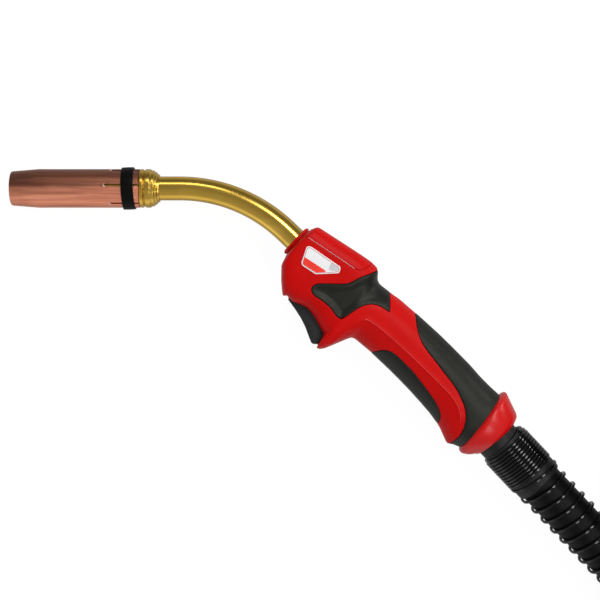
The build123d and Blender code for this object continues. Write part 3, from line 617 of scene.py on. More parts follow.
# Each slit has a round front end, with a bright burr standing on it.
SLIT_HALF, SLIT_PAST_END, SLIT_DEPTH, NOZZLE_CREASE = 0.75, 84.5, (9, 15), 35
round_end = [radians(a) for a in range(-90, 91, 30)]
slit_places = [Place(TORCH.origin, (1, 0, 0), cos(a) * TORCH.y + sin(a) * TORCH.z) for a in SLIT_ANGLES]
blades = []
for place, slit_start in zip(slit_places, SLIT_STARTS):
    slit_outline = [(slit_start + SLIT_HALF * (1 - cos(a)), SLIT_HALF * sin(a)) for a in round_end]
    slit_outline += [(SLIT_PAST_END, SLIT_HALF), (SLIT_PAST_END, -SLIT_HALF)]
    blades.append(bar(place, slit_outline, *SLIT_DEPTH))
cut(nozzle, blades)
nozzle.data.shade_smooth()
nozzle.data.set_sharp_from_angle(angle=radians(NOZZLE_CREASE))
for k, (place, slit_start) in enumerate(zip(slit_places, SLIT_STARTS), 1):
    line = [place.at(slit_start + 0.5 - cos(a), 0.85 * sin(a), 12.5) for a in np.linspace(-2.0, 1.6, 17)]
    swept(f"nozzle_slit_lip_{k}", line, circle(0.34, 8), BURR, "nozzle", "copper")

RING_LEAN = radians(2)  # the pushed-on ring sits a little askew
ring_place = Place(TORCH.at(76.1), (cos(RING_LEAN), sin(RING_LEAN), 0))
band = [(-3.95, 12.3), (-3.95, 13.7), (0, 13.8), (3.95, 13.7), (3.95, 12.3)]
lathe("nozzle_ring_band", ring_place, band, RING, "nozzle", "ring_black", ["nozzle_ring"], 0.45)
tip = [(6, 0.7, 0.1), (6, 3.1), (8.5, 4.6), (13, 5), (27, 5), (27, 4), (36, 4), (36, 0.7)]
lathe("contact_tip_body", TORCH, tip, COPPER, "handle", "copper", ["contact_tip"], 0.3, 64)
brass_head = [
    (62, 5.05), (62, 9.9), (62.6, 10.5), (83.4, 10.5, 0), (83.4, 12.1), (84.0, 12.5), (85.7, 12.5),
    (86.5, 11.5, 0.2), (87.3, 12.5), (90.3, 12.5, 0.8), (91.4, 11.7), (92.9, 11.6, 0.4), (93.4, 10.6),
    (94.5, 10.5, 0.4), (95.0, 9.3), (96.2, 9.0, 0.4), (96.2, 7.85), (88, 7.85), (88, 4.65), (71, 4.65),
    (71, 5.05),
]
lathe("neck_head_body", TORCH, brass_head, TURNED, "handle", "brass", ["neck_head"], 0.18, 128)

NECK_R, NECK_BORE_R, NECK_BEND = 7.8, 6.5, 99.5
tangent = NECK_BEND * tan(HANDLE_DROP / 2)
neck_line = [TORCH.at(x) for x in np.linspace(88.5, NECK_CORNER - tangent, 6)]
bend_centre = TORCH.at(NECK_CORNER - tangent, -NECK_BEND)
for angle in np.linspace(0, HANDLE_DROP, 30)[1:]:
    neck_line.append(bend_centre + MM * NECK_BEND * Vector((sin(angle), cos(angle), 0)))
neck_line += [HANDLE.at(u) for u in np.linspace(tangent, 77, 10)[1:]]


def pipe(name, line, outer, inner, *look):
    """A tube with a bore, closed by two flat ends."""
    line = np.asarray(line, float)
    side = np.cross(UPWARD, unit(np.gradient(line, axis=0)))
    rings = []
    for radius, stations in ((outer, range(len(line))), (inner, reversed(range(len(line))))):
        for i in stations:
            rings.append([line[i] + MM * radius * (cos(a) * side[i] + sin(a) * UPWARD) for a in turns_of(64)])
    return ringed(name, rings, True, *look)


pipe("neck_tube_pipe", neck_line, NECK_R, NECK_BORE_R, BRASS, "handle", "brass", ["neck_tube"])

# ---------------- form of the handle
# Side outlines along and across the handle: the top and bottom edges, the half width, and how
# square the section is (2 is an oval).
TOP = [
    (48, 13), (51.5, 13.4), (53, 15.8), (55, 16.5), (85.2, 22.3), (93.7, 23.7), (99, 23.7), (101, 22.5),
    (103.6, 19.6), (105.6, 17.8), (108, 17.2), (116.4, 18), (124.2, 19.2), (133, 19.6), (140, 20),
    (150.2, 20.3), (159, 20.5), (168.1, 20.4), (177.3, 20.2), (186.5, 19.9), (196.6, 19), (205.6, 18.8),
    (213.4, 19), (222, 18.9),
]
BOTTOM = [
    (48, -12), (51.5, -13), (52.3, -16), (53.1, -17.9), (59.8, -25.1), (64.6, -29.4), (67.9, -32),
    (69.2, -29.8), (71.8, -30.3), (75.2, -30.1), (79.5, -28.1), (83.6, -26.8), (87, -26.7), (92.7, -27.9),
    (99.4, -30.3), (104.0, -31.8), (104.9, -34), (105.4, -39.4), (106.3, -41.0), (108.4, -40.7),
    (110.8, -37.8), (118.2, -20.6), (121, -19.5), (135.2, -18.5), (151.2, -18.4), (160.4, -18.6),
    (169.9, -19), (179.5, -19.7), (189.4, -20.6), (196.5, -21.9), (200.8, -23.1), (205.4, -25),
    (209.7, -26.7), (211.3, -27), (213.0, -25.4), (215.5, -24.2), (218.4, -23.2), (222, -22.8),
]
HALF = [
    (48, 20.1), (56, 20.45), (90, 20.45), (100, 20.0), (110, 19), (120, 18.2), (135, 17.7), (152, 17.6),
    (170, 17.8), (188, 18.2), (202, 18.6), (211, 18.6), (222, 18.4),
]
SQUARE = [(48, 4.2), (88, 4.2), (100, 3.4), (110, 2.6), (122, 2.2), (222, 2.05)]
STATION_STEP = 0.2
STATIONS = np.arange(44, 226, STATION_STEP)


def smooth_table(points, blur):
    """The outline's values at the stations, blurred over so many millimetres."""
    x, y = zip(*points)
    table = np.interp(STATIONS, x, y)
    reach = int(4 * blur / STATION_STEP)
    weights = np.exp(-0.5 * (np.arange(-reach, reach + 1) * STATION_STEP / blur) ** 2)
    padded = np.pad(table, reach, mode="edge")
    return np.convolve(padded, weights / weights.sum(), "valid")


tables = [smooth_table(TOP, 0.7), smooth_table(BOTTOM, 0.5), smooth_table(HALF, 3), smooth_table(SQUARE, 3)]
FRONT, FRONT_DEPTH, FRONT_RUN, REAR = 51.0, 3.0, 8.0, 218.4
FRONT_P = FRONT + FRONT_DEPTH - FRONT_RUN
FERRULE_R = 11.35
ROUND = 20.0  # millimetres of surface for each radian round the handle


def form(p, turn):
    """Points (u, v, z) of the handle's surface.  p is u, spread out over the rounded front end,
    and turn goes from the top edge (0) over the left side to the bottom edge (pi)."""
    p, turn = np.asarray(p, float), np.asarray(turn, float)
    into = np.clip((p - FRONT_P) / FRONT_RUN, 0, 1) * pi / 2
    u = np.where(p < FRONT + FRONT_DEPTH, FRONT + FRONT_DEPTH * (1 - np.cos(into)), p)
    grown = np.sin(into)
    top, bottom, half, square = (np.interp(u, STATIONS, table) for table in tables)
    c, s = np.cos(turn), np.sin(turn)
    size = (np.abs(c) ** square + np.abs(s) ** square) ** (-1 / square)
    v = (top + bottom) / 2 + (top - bottom) / 2 * size * c
    z = half * size * s
    v = FERRULE_R * c * (1 - grown) + v * grown
    z = FERRULE_R * s * (1 - grown) + z * grown
    return np.stack([u, v, z], axis=-1)


def form_normal(p, turn):
    """Outward normals of the form."""
    step = 0.05
    along = form(p + step, turn) - form(p - step, turn)
    around = form(p, turn + step / ROUND) - form(p, turn - step / ROUND)
    return unit(np.cross(around, along))


TURNS = np.linspace(0, pi, 721)


def section_at(p):
    """Points round the left side of the form, from its top edge to its bottom edge."""
    return form(np.full_like(TURNS, p), TURNS)


def to_domain(points):
    """(p, ROUND * turn) places of (u, v) points seen from the left side."""
    made = []
    for u, v in points:
        if u < FRONT + FRONT_DEPTH:
            inner = np.arccos(1 - np.clip((u - FRONT) / FRONT_DEPTH, 0, 1))
            p = FRONT_P + FRONT_RUN * inner / (pi / 2)
        else:
            p = u
        rise = section_at(p)[:, 1]
        turn = float(np.interp(-v, -rise, TURNS))
        made.append((float(p), ROUND * turn))
    return made


def curve_through(points, spacing=0.5):
    """A smooth line through points, evenly spaced."""
    points = [np.array(p, float) for p in points]
    fine = points
    if len(points) > 2:
        ends = [2 * points[0] - points[1], *points, 2 * points[-1] - points[-2]]
        fine = []
        for a, b, c, d in zip(ends, ends[1:], ends[2:], ends[3:]):
            square, cube = 2 * a - 5 * b + 4 * c - d, 3 * b - a - 3 * c + d
            for t in np.linspace(0, 1, 12, endpoint=False):
                fine.append(0.5 * (2 * b + (c - a) * t + square * t**2 + cube * t**3))
        fine.append(points[-1])
    fine = np.array(fine)
    length = run_along(fine)
    count = max(1, round(length[-1] / spacing))
    at = np.linspace(0, length[-1], count + 1)
    return [(float(np.interp(a, length, fine[:, 0])), float(np.interp(a, length, fine[:, 1]))) for a in at]


HEAD_SIDE = [
    (100.9, 23.0), (100.4, 21.8), (98.4, 17.1), (95.4, 11.0), (94.2, 7.4), (93.0, 4.0), (91.0, 1.0),
    (86.6, -3.1), (81.9, -7.4), (78.6, -10.9), (77.4, -13.6), (78.0, -15.9), (79.8, -17.3), (82.4, -17.7),
    (85.2, -17.3), (88.2, -16.7), (92.2, -16.4), (95.9, -16.5), (99.3, -17.2), (102.2, -17.5),
    (104.5, -16.6), (105.7, -14.6), (106.4, -11.7), (107.2, -7.8), (108.0, -4.0), (109.4, -0.6),
    (111.8, 3.0), (114.9, 5.4), (118.8, 6.9), (124.1, 7.9),
]
PAD_TAIL = [(124.1, 7.9), (123.2, 9.6), (119.3, 14.0), (116.4, 17.4)]
REAR_EDGE = [
    (137.8, 18.6), (140.3, 16.4), (143.7, 13.4), (147.5, 10.8), (151.7, 8.7), (156.7, 7.2), (162.1, 6.2),
    (169.4, 5.2), (175.7, 4.1), (182.9, 3.1), (189.7, 1.6), (195.1, -0.4), (199.6, -2.3), (203.4, -4.9),
    (206.1, -7.6), (208.7, -11.3), (210.6, -15.7), (211.5, -19.5), (211.6, -24.6),
]
FINGER_EDGE = [
    (134.6, -18.3), (136.4, -14.9), (138.9, -11.8), (142.3, -9.8), (146.0, -9.0), (150.3, -8.9),
    (154.9, -9.0), (159.4, -9.1), (164.4, -9.6), (169.7, -10.4), (174.9, -11.2), (180.3, -12.2),
    (184.9, -13.2), (189.2, -14.5), (192.8, -16.4), (195.1, -18.6), (197.0, -21.4),
]
COVER_EDGE = [
    (51.0, 5.6), (53.3, 6.2), (58.9, 7.2), (70.3, 9.3), (81.7, 11.3), (87.9, 12.3), (90.2, 13.0),
    (92.4, 14.6), (93.8, 17.6), (94.4, 22.4),
]
CREASE = [
    (110.8, -31.5), (111.4, -25.5), (112.2, -19.0), (113.2, -12.4), (114.8, -7.9), (117.6, -5.2),
    (122.8, -4.0), (131.0, -3.2), (148.2, -2.6), (165.8, -2.5), (183.9, -2.9), (190.7, -3.5), (196.5, -5.0),
    (201.5, -7.6), (205.2, -11.5), (207.4, -17),
]
SLOT_FRONT, SLOT_REAR, SLOT_HALF = 69.8, 106.6, 8.4
BOTTOM_Q = ROUND * pi


def edge_line(points, first=None, last=None):
    """An outline's line in the domain, run out to the top edge (0) or the bottom edge."""
    places = to_domain(curve_through(points))
    if first is not None:
        places.insert(0, (places[0][0], first))
    if last is not None:
        places.append((places[-1][0], last))
    return [(p, min(max(q, 0), BOTTOM_Q)) for p, q in curve_through(places)]


def slot_line():
    """The trigger's slot on the left side, from its front corner to its rear corner."""
    lower = TURNS[360:]
    made = []
    for u in np.linspace(SLOT_FRONT, SLOT_REAR, 75):
        across = form(np.full_like(lower, u), lower)[:, 2]
        made.append((float(u), ROUND * float(np.interp(-SLOT_HALF, -across, lower))))
    front = curve_through([(SLOT_FRONT, BOTTOM_Q), made[0]])
    rear = curve_through([made[-1], (SLOT_REAR, BOTTOM_Q)])
    return front[:-1] + made + rear[1:]


head_side = edge_line(HEAD_SIDE, first=0)
pad_tail = edge_line(PAD_TAIL, last=0)
FRONT_PAD = head_side + pad_tail[1:]
REAR_PAD = edge_line(REAR_EDGE, first=0, last=BOTTOM_Q)
FINGER_PAD = edge_line(FINGER_EDGE, first=BOTTOM_Q, last=BOTTOM_Q)
COVER = edge_line(COVER_EDGE, last=0)
SLOT = slot_line()
crease_line = curve_through(to_domain(curve_through(CREASE)), 0.8)
REGIONS = {
    "front_grip": FRONT_PAD,
    "rear_grip": REAR_PAD + [(REAR, BOTTOM_Q), (REAR, 0)],
    "finger_grip": FINGER_PAD,
    "top_cover": COVER + [(FRONT_P, 0)],
    "slot": SLOT,
}
# Distances of the extra points beside the outlines and beside the crease, and of the ones in between.
RINGS, CREASE_ROWS = (0.06, 0.16, 0.32, 0.55, 1.0), (-1.1, -0.7, -0.3, 0.3, 0.7, 1.1)
INNER_SPACING, ROW_SPACING = 1.3, 1.3 * 0.866
CLEAR_OF_LINES, CLEAR_OF_EDGES, CLEAR_OF_CREASE = 1.2, 1.5, 1.6


def inside(polygon, places):
    """Which places lie in a polygon."""
    x, y = places[:, 0], places[:, 1]
    found = np.zeros(len(places), bool)
    for (x1, y1), (x2, y2) in zip(polygon, polygon[1:] + polygon[:1]):
        if y1 == y2:
            continue
        crossing = (y1 > y) != (y2 > y)
        found ^= crossing & (x < (x2 - x1) * (y - y1) / (y2 - y1) + x1)
    return found


def tree_of(points):
    """The points in a tree that finds the nearest one."""
    made = KDTree(len(points))
    for i, point in enumerate(points):
        made.insert((*point, 0) if len(point) == 2 else point, i)
    made.balance()
    return made


def dense(line, spacing=0.05):
    """Points all along a line, close together."""
    line = np.asarray(line, float)
    made = []
    for a, b in zip(line, line[1:]):
        count = max(1, ceil(np.linalg.norm(b - a) / spacing))
        made.extend(a + (b - a) * k / count for k in range(count))
    made.append(line[-1])
    return made


def within(x, y):
    return FRONT_P < x < REAR and 0 < y < BOTTOM_Q


def beside(line, offsets):
    """(place, offset) pairs on both sides of each short run of a line."""
    line = np.array(line)
    for a, b in zip(line, line[1:]):
        run = b - a
        size = np.linalg.norm(run)
        if size < 1e-6:
            continue
        across = np.array([-run[1], run[0]]) / size
        for offset in offsets:
            yield (a + b) / 2 + offset * across, abs(offset)


def divided(holes):
    """The left side's domain in triangles, with every outline as an edge, fine beside the
    outlines.  holes are (u, v, radius) of round holes."""
    hole_lines = []
    for u, v, radius in holes:
        ring = [(u + radius * cos(a), v + radius * sin(a)) for a in np.linspace(0, 2 * pi, 33)]
        hole_lines.append(to_domain(ring))
    lines = [FRONT_PAD, REAR_PAD, FINGER_PAD, COVER, SLOT, *hole_lines]
    corners = [(FRONT_P, 0), (FRONT_P, BOTTOM_Q), (REAR, BOTTOM_Q), (REAR, 0)]
    rim = []
    for a, b in zip(corners, corners[1:] + corners[:1]):
        rim.extend(curve_through([a, b], 0.8)[:-1])
    borders = [rim + rim[:1], *lines]
    near = tree_of([p for line in borders for p in dense(line)])
    by_crease = tree_of(dense(crease_line, 0.2))
    points, edges = [], []
    index = {}

    def add(point):
        key = (round(point[0], 4), round(point[1], 4))
        if key not in index:
            index[key] = len(points)
            points.append(Vector(point))
        return index[key]

    for line in [*borders, crease_line]:
        numbers = [add(p) for p in line]
        edges.extend((a, b) for a, b in zip(numbers, numbers[1:]) if a != b)
    both_sides = [side * ring for side in (-1, 1) for ring in RINGS]
    for line in borders:
        for (x, y), offset in beside(line, both_sides):
            if within(x, y) and near.find((x, y, 0))[2] > 0.97 * offset:
                add((float(x), float(y)))
    for (x, y), offset in beside(crease_line, CREASE_ROWS):
        off_edges, off_crease = near.find((x, y, 0))[2], by_crease.find((x, y, 0))[2]
        if within(x, y) and off_edges > CLEAR_OF_LINES and off_crease > 0.9 * offset:
            add((float(x), float(y)))
    for j in range(int(BOTTOM_Q / ROW_SPACING) + 1):
        for i in range(int((REAR - FRONT_P) / INNER_SPACING) + 1):
            x, y = FRONT_P + (i + 0.5 * (j % 2)) * INNER_SPACING + 0.3, (j + 0.5) * ROW_SPACING
            off_edges, off_crease = near.find((x, y, 0))[2], by_crease.find((x, y, 0))[2]
            if within(x, y) and off_edges > CLEAR_OF_EDGES and off_crease > CLEAR_OF_CREASE:
                add((x, y))
    found = delaunay_2d_cdt(points, edges, [], 0, 1e-5)
    places = np.array([tuple(p) for p in found[0]], float)
    triangles = np.array([tuple(f) for f in found[2]], int)
    return places, triangles, hole_lines


PAD_DENT, DENT_RUN, DENT_END, DENT_FADE = 2.3, 6.0, 100, 20
RIDGE_RISE, RIDGE_WIDTH, RIDGE_END, RIDGE_FADE = 1.1, 2.4, 208, 10
DENT_EDGE, RIDGE_EDGE, PROUD_RUN = 5, 2, 1.2  # how far from an edge the skin has its full height
GAP, SEAM_GAP, OVERLAP = 0.12, 0.03, 0.04  # between the skins' outer edges, and of their hidden ones
SEAM_ROUNDING, FAR_OFF, SKIN_CREASE = 0.22, 99.0, 85
head_tree = tree_of(dense(head_side[:75], 0.2))
crease_tree = tree_of(dense(crease_line, 0.1))


def distances(tree, points):
    """How far each point, in the domain or in space, lies from the tree's nearest one."""
    return np.array([tree.find((*p, 0) if len(p) == 2 else p)[2] for p in points])


def rim_inwards(base, single, rim):
    """For each point of a skin's rim, the direction into the skin, evened out along the rim."""
    inwards = np.zeros((len(base), 3))
    on_rim = np.zeros(len(base), bool)
    on_rim[np.unique(rim)] = True
    for a, b in np.concatenate([single, single[:, ::-1]]):
        if on_rim[a] and not on_rim[b]:
            inwards[a] += base[b] - base[a]
    for _ in range(3):
        inwards = inwards / np.maximum(np.linalg.norm(inwards, axis=1, keepdims=True), 1e-9)
        blended = inwards.copy()
        for a, b in rim:
            blended[a] += inwards[b]
            blended[b] += inwards[a]
        inwards = blended
    return {a: unit(inwards[a]) for a in np.flatnonzero(on_rim & (np.linalg.norm(inwards, axis=1) > 0))}


def depth(region, base, flat, edges, seam, edge, raised):
    """How deep a skin's outer side lies under the form at each point: rounded off at its edges,
    and shaped by the front grip's dent and the shell's ridge."""
    sunk = np.zeros(len(base))
    distance = np.full(len(base), FAR_OFF)
    for samples, radius in ((edges, edge), (seam, SEAM_ROUNDING)):
        if not samples:
            continue
        off = distances(tree_of(samples), base)
        if radius == edge:
            distance = off
        inner = np.clip(radius - off, 0, radius)
        sunk = np.maximum(sunk, radius - np.sqrt(np.maximum(radius**2 - inner**2, 0)))
    sunk -= raised * ease(distance / PROUD_RUN)
    if region == "front_grip":
        dent = PAD_DENT * ease(distances(head_tree, flat) / DENT_RUN) * ease(distance / DENT_EDGE)
        sunk += dent * (1 - ease((flat[:, 0] - DENT_END) / DENT_FADE)) * np.sin(flat[:, 1] / ROUND)
    if region == "handle_shell":
        fade = ease(distance / RIDGE_EDGE) * ease((RIDGE_END - flat[:, 0]) / RIDGE_FADE)
        sunk -= RIDGE_RISE * np.exp(-distances(crease_tree, flat) / RIDGE_WIDTH) * fade
    return sunk


def skins(side, holes=()):
    """The outer pieces on one side of the handle, each a closed wall with rounded edges."""
    places, triangles, hole_lines = divided(holes)
    centres = places[triangles].mean(axis=1)
    owner = np.full(len(triangles), "handle_shell", dtype=object)
    for region, polygon in REGIONS.items():
        owner[inside(polygon, centres)] = region
    for line in hole_lines:
        owner[inside(line[:-1], centres)] = "slot"
    surface = form(places[:, 0], places[:, 1] / ROUND)
    normal = form_normal(places[:, 0], places[:, 1] / ROUND)
    parting = (places[:, 1] < 1e-4) | (places[:, 1] > BOTTOM_Q - 1e-4)
    owned = [np.unique(triangles[owner == region]) for region in KINDS]
    shared = sum(np.bincount(used, minlength=len(places)) for used in owned) > 1
    tag = "left" if side > 0 else "right"
    for used, (region, (material, slot, wall, edge, raised)) in zip(owned, KINDS.items()):
        number = np.full(len(places), -1)
        number[used] = np.arange(len(used))
        faces = number[triangles[owner == region]]
        sides = np.sort(np.concatenate([faces[:, [0, 1]], faces[:, [1, 2]], faces[:, [2, 0]]]), axis=1)
        single, count = np.unique(sides, axis=0, return_counts=True)
        rim = single[count == 1]
        base, outward, flat = surface[used], normal[used], places[used]
        on_parting = parting[used]
        seam, edges = [], []
        for a, b in rim:
            (seam if on_parting[a] and on_parting[b] else edges).extend(dense([base[a], base[b]], 0.06))
        sunk = depth(region, base, flat, edges, seam, edge, raised)
        outer = base - sunk[:, None] * outward
        inner_skin = base - (wall + edge) * outward
        for a, inward in rim_inwards(base, single, rim).items():
            gap = SEAM_GAP if on_parting[a] or region == "top_cover" else GAP
            outer[a] += gap * inward
            inner_skin[a] += -OVERLAP * inward if shared[used[a]] else gap * inward
        n = len(used)
        points = np.concatenate([outer, inner_skin])
        points[:, 2] *= side
        all_faces = [tuple(f) for f in faces] + [tuple(f[::-1] + n) for f in faces]
        all_faces += [(a, b, b + n, a + n) for a, b in rim]
        label = region if region == "top_cover" else f"{region}_{tag}"
        replaced = [label] if region != "top_cover" or side > 0 else []
        name = f"{region}_{tag}_skin"
        piece(name, HANDLE.array(points), all_faces, material, "handle", slot, replaced, SKIN_CREASE)


# Material, slot, wall, rounding of the edges, and how far the piece stands proud.
KINDS = {
    "handle_shell": (RED, "shell_red", 2.2, 0.4, 0.0),
    "front_grip": (PAD, "grip_rubber", 1.6, 0.45, 0.1),
    "rear_grip": (PAD, "grip_rubber", 1.2, 0.45, 0.1),
    "finger_grip": (PAD, "grip_rubber", 1.6, 0.45, 0.15),
    "top_cover": (RED, "shell_red", 2.0, 0.25, 0.0),
}
SCREW_PLACES = [(58.5, -15), (112, -20), (131, 11), (197, -14.5)]
SCREW_HOLE_R = 3.0
skins(1)
skins(-1, [(u, v, SCREW_HOLE_R) for u, v in SCREW_PLACES])


# ---------------- pieces on the handle
def inset(outline, amount):
    """An outline moved inwards by an amount."""
    outline = np.asarray(outline, float)
    x, y = outline[:, 0], outline[:, 1]
    turning = np.sign(np.sum(x * np.roll(y, -1) - np.roll(x, -1) * y))
    before = outline - np.roll(outline, 1, axis=0)
    after = np.roll(outline, -1, axis=0) - outline
    ahead = unit(unit(before) + unit(after))
    return outline + amount * turning * np.stack([-ahead[:, 1], ahead[:, 0]], axis=1)


def pillow(name, place, outline, low, high, edge, *look, steps=4):
    """A plate of a closed outline in a place's x and y, with rounded upper and lower edges."""
    quarter = [pi / 2 * k / steps for k in range(steps + 1)]
    levels = [(edge * (1 - sin(a)), low + edge * (1 - cos(a))) for a in quarter]
    levels += [(draw, low + high - height) for draw, height in reversed(levels)]
    rings = [[place.at(x, y, height) for x, y in inset(outline, draw)] for draw, height in levels]
    return ringed(name, rings, False, *look)


trigger_outline = [
    (70.6, -29.4, 0.6), (72.0, -31.2, 0.8), (79.3, -32.5, 6), (86.0, -34.1, 6), (92.0, -36.2, 6),
    (97.5, -38.9, 6), (102.6, -41.3, 2.6), (105.5, -38.9, 2.6), (105.7, -34.6, 3), (105.0, -30, 3),
    (102.6, -26.6, 1), (93, -25.2), (92.5, -23.4), (88.5, -23.4), (88, -24.6), (77.5, -23.4),
    (74.5, -22.9, 1.5), (71.4, -24.4, 1.5),
]
trigger_outline = rounded(trigger_outline, 0.3, 5)
trigger_look = TRIGGER, "trigger", "trigger_black", ["trigger"]
pillow("trigger_lever", HANDLE, trigger_outline, -7.9, 7.9, 1.3, *trigger_look)

BADGE = [(57, 1.8), (59.4, 3.4), (82, 7), (83.8, 3.4), (73.4, -7.4), (62.3, -9.4)]
BADGE_RADII = [2.2, 2.2, 2.0, 1.6, 2.4, 2.6]
badge_outline = rounded([(*corner, radius) for corner, radius in zip(BADGE, BADGE_RADII)], 2, 6)
BAND = [(60.6, -4.3), (78.0, -1.0), (72.9, -6.4), (63.1, -8.2)]
CORNER = [(77.6, 0.2), (82.4, 3.6), (81.4, 5.9), (75.4, 4.7)]
BADGE_FOOT, BADGE_TOP, PRINT_FOOT, PRINT_TOP = 20.0, 20.86, 20.7, 20.9
band, corner = rounded(BAND, 0.9, 5), rounded(CORNER, 0.8, 5)
frame_line = inset(badge_outline, 0.85)
frame_line = [*frame_line, frame_line[0], frame_line[1]]
for side, tag in ((1, "left"), (-1, "right")):
    faces_out = Place(HANDLE.origin, HANDLE.x)
    faces_out.z = side * HANDLE.z  # x and y stay, so that the right badge mirrors the left one
    plate_look = PLATE, "handle", "badge_plate", [f"badge_{tag}"]
    pillow(f"badge_{tag}_plate", faces_out, badge_outline, BADGE_FOOT, BADGE_TOP, 0.2, *plate_look)
    for kind, outline, material in (("band", band, PLATE_RED), ("corner", corner, PLATE_GREY)):
        look = material, "handle", "badge_plate"
        pillow(f"badge_{tag}_{kind}", faces_out, outline, PRINT_FOOT, PRINT_TOP, 0.04, *look)
    line = [faces_out.at(x, y, BADGE_TOP) for x, y in frame_line]
    swept(f"badge_{tag}_line", line, circle(0.17, 6), PLATE_LINE, "handle", "badge_plate")


def beads(name, places, lift, radius, material):
    """A fine bead along a line of the domain, on both sides of the handle."""
    p, q = np.array(places).T
    line = form(p, q / ROUND) + lift * form_normal(p, q / ROUND)
    for side, tag in ((1, "left"), (-1, "right")):
        mirrored = HANDLE.array(line * (1, 1, side))
        swept(f"{name}_{tag}", mirrored, circle(radius, 8), material, "handle", "shell_red")


SEAM_RUN, CREASE_RUN, CREASE_LOWEST = (53.5, 89.0), (116.0, 205.5), ROUND * 2.2
seam = [(p, q) for p, q in COVER if SEAM_RUN[0] < p < SEAM_RUN[1]]
# The seam bead is pale pink: a painted highlight along the cover's seam.
beads("cover_seam_bead", seam, 0.02, 0.13, SEAM_HIGHLIGHT)
# The ridge bead is a lighter red than the shell: a painted highlight along the crease.
ridge = [(p, q) for p, q in crease_line if CREASE_RUN[0] < p < CREASE_RUN[1] and q < CREASE_LOWEST]
beads("handle_ridge", ridge, RIDGE_RISE - 0.04, 0.16, RIDGE_HIGHLIGHT)

ferrule = [
    (48.1, 7.95), (48.1, 9.9, 0.3), (48.9, 10.9, 0.3), (50.0, 11.15, 0.2), (50.3, 10.45, 0.1),
    (50.8, 10.45, 0.1), (51.1, 11.1, 0.1), (54.0, 11.1), (54.0, 7.95),
]
lathe("front_collar_ring", HANDLE, ferrule, RED, "handle", "shell_red", ["front_collar"], 0.2)

# The flared collar: top edge and bottom edge (u, v) and half width of each section.
COLLAR_FORM = [
    ((213.7, 19.2), (218.1, -22.7), 18.8),
    ((214.3, 21.9), (219.4, -24.5), 20.3),
    ((214.7, 22.7), (220.2, -24.9), 20.8),
    ((215.3, 23.1), (221.0, -25.1), 21.0),
    ((216.2, 23.2), (222.0, -25.1), 21.0),
    ((217.2, 22.8), (223.0, -24.7), 20.9),
    ((222.4, 20.8), (225.6, -23.0), 20.2),
    ((227.6, 18.9), (227.4, -21.0), 18.9),
    ((229.6, 18.1), (228.3, -19.6), 18.3),
    ((231.2, 17.0), (229.2, -19.1), 17.5),
    ((231.9, 15.6), (229.6, -18.7), 16.8),
]
OPENING_R = 16.3
INNER_RINGS = [(11.6, OPENING_R, 1.2), (5.85, OPENING_R, 0), (3.0, 16.6, 0), (0.0, 16.9, 0), (-1.5, 16.9, 0)]
around = turns_of(120)
rings = []
for (top_u, top_v), (bottom_u, bottom_v), half in COLLAR_FORM:
    middle_u, middle_v = (top_u + bottom_u) / 2, (top_v + bottom_v) / 2
    reach_u, reach_v = (top_u - bottom_u) / 2, (top_v - bottom_v) / 2
    section = [(middle_u + reach_u * cos(a), middle_v + reach_v * cos(a), half * sin(a)) for a in around]
    rings.append([HANDLE.at(*point) for point in section])
for x, radius, lean_back in INNER_RINGS:
    rings.append([HOSE.at(x + lean_back * cos(a), radius * cos(a), radius * sin(a)) for a in around])
ringed("rear_collar_flare", rings, True, RED_POLISHED, "handle", "shell_red", ["rear_collar"], 34)

cuff = [
    (-14.3, 7), (-14.3, 12), (-12.3, 12.6, 0.2), (-12.3, 10.95), (8.3, 10.95), (8.3, 14.15, 0.5),
    (17.3, 14.15, 0.3), (17.3, 7),
]
lathe("hose_cuff_ring", HOSE, cuff, CUFF, "hose", "cuff_black", ["hose_cuff"], 0.2)

COIL_STEPS = 20  # points in one turn of a small spring


def coil_wire(node_name, foot, axis, length, radius, wire, turns, body, joint):
    """A small pressing spring in place of a CAD node.  joint is not used."""
    axis = Vector(axis).normalized()
    side = axis.orthogonal().normalized()
    other = axis.cross(side)
    line = []
    for step in range(COIL_STEPS * turns + 1):
        a = 2 * pi * step / COIL_STEPS
        rise = wire + (length - 2 * wire) * step / (COIL_STEPS * turns)
        line.append(foot + MM * (rise * axis + radius * cos(a) * side + radius * sin(a) * other))
    made = swept(f"{node_name}_wire", line, circle(wire, 8), STEEL, body, "steel", [node_name])
    tuple(axis)
    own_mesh(made)
    return made


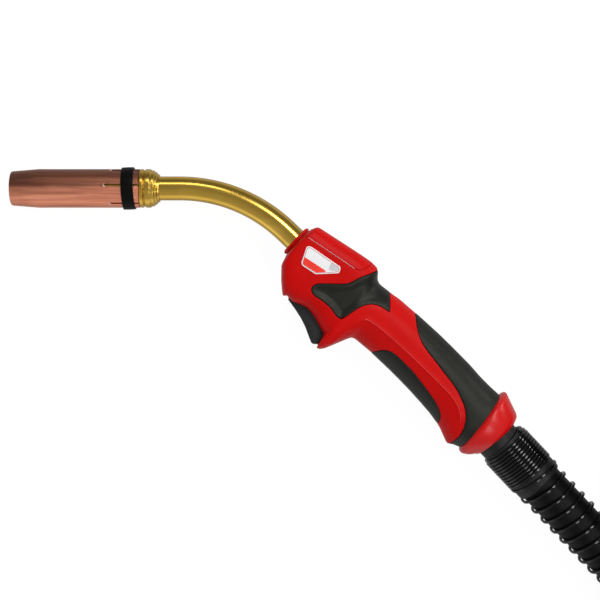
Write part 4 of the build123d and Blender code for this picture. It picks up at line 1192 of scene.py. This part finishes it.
trigger_foot = HANDLE.at(101.5, -16.9)
coil_wire("trigger_spring", trigger_foot, -HANDLE.y, 8.8, 2.6, 0.35, 5, "handle", "trigger_press")
for letter in "ab":
    coil_name, joint = f"contact_spring_{letter}", f"contact_{letter}_press"
    low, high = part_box(coil_name)
    foot = Vector(((low.x + high.x) / 2, high.y, (low.z + high.z) / 2))
    span = (high.y - low.y) / MM
    coil_wire(coil_name, foot, PLUG.x, span, 1.2, 0.2, 8, "hose", joint)

# Each screw stands at the foot of a well in the right shell, whose rim follows the shell's surface.
WELL_SUNK, WELL_WALL = 0.7, 0.7
for number, (u, v) in enumerate(SCREW_PLACES, 1):
    down = Place(HANDLE.at(u, v), (0, 0, -1), HANDLE.x)
    outside = SCREW_HOLE_R + WELL_WALL
    well = [(9.0, 0), (9.0, outside), (24, outside), (24, SCREW_HOLE_R), (11.4, SCREW_HOLE_R), (11.4, 0)]
    made = lathe(f"screw_well_{number}", down, well, RED, "handle", "shell_red", (), 0, 48)
    for vertex in made.data.vertices:
        offset = (vertex.co - HANDLE.origin) / MM
        section = section_at(offset @ HANDLE.x)
        surface = float(np.interp(-(offset @ HANDLE.y), -section[:, 1], section[:, 2]))
        vertex.co.z = max(vertex.co.z, HANDLE.origin.z - MM * (surface - WELL_SUNK))

# ---------------- finishes of the carried-over nodes
LOOKS = {
    "copper": COPPER,
    "ring_black": RING,
    "brass": TURNED,
    "ceramic_white": CERAMIC,
    "insulation_black": INSULATION,
    "conductor": CONDUCTOR,
    "steel": STEEL,
    "shell_red": RED,
    "grip_rubber": PAD,
    "badge_plate": PLATE,
    "trigger_black": TRIGGER,
    "switch_body": SWITCH,
    "lead_cover": INSULATION,
    "cuff_black": CUFF,
    "hose_rubber": HOSE_RUBBER,
    "spring_black": WIRE,
    "seal_rubber": SEAL,
}
for part in frame["record"]["subparts"]:
    for place in frame["nodes"][part["node"]].material_slots:
        place.material = LOOKS[part["material_slot"]]

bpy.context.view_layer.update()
HOSE.at(EXIT)
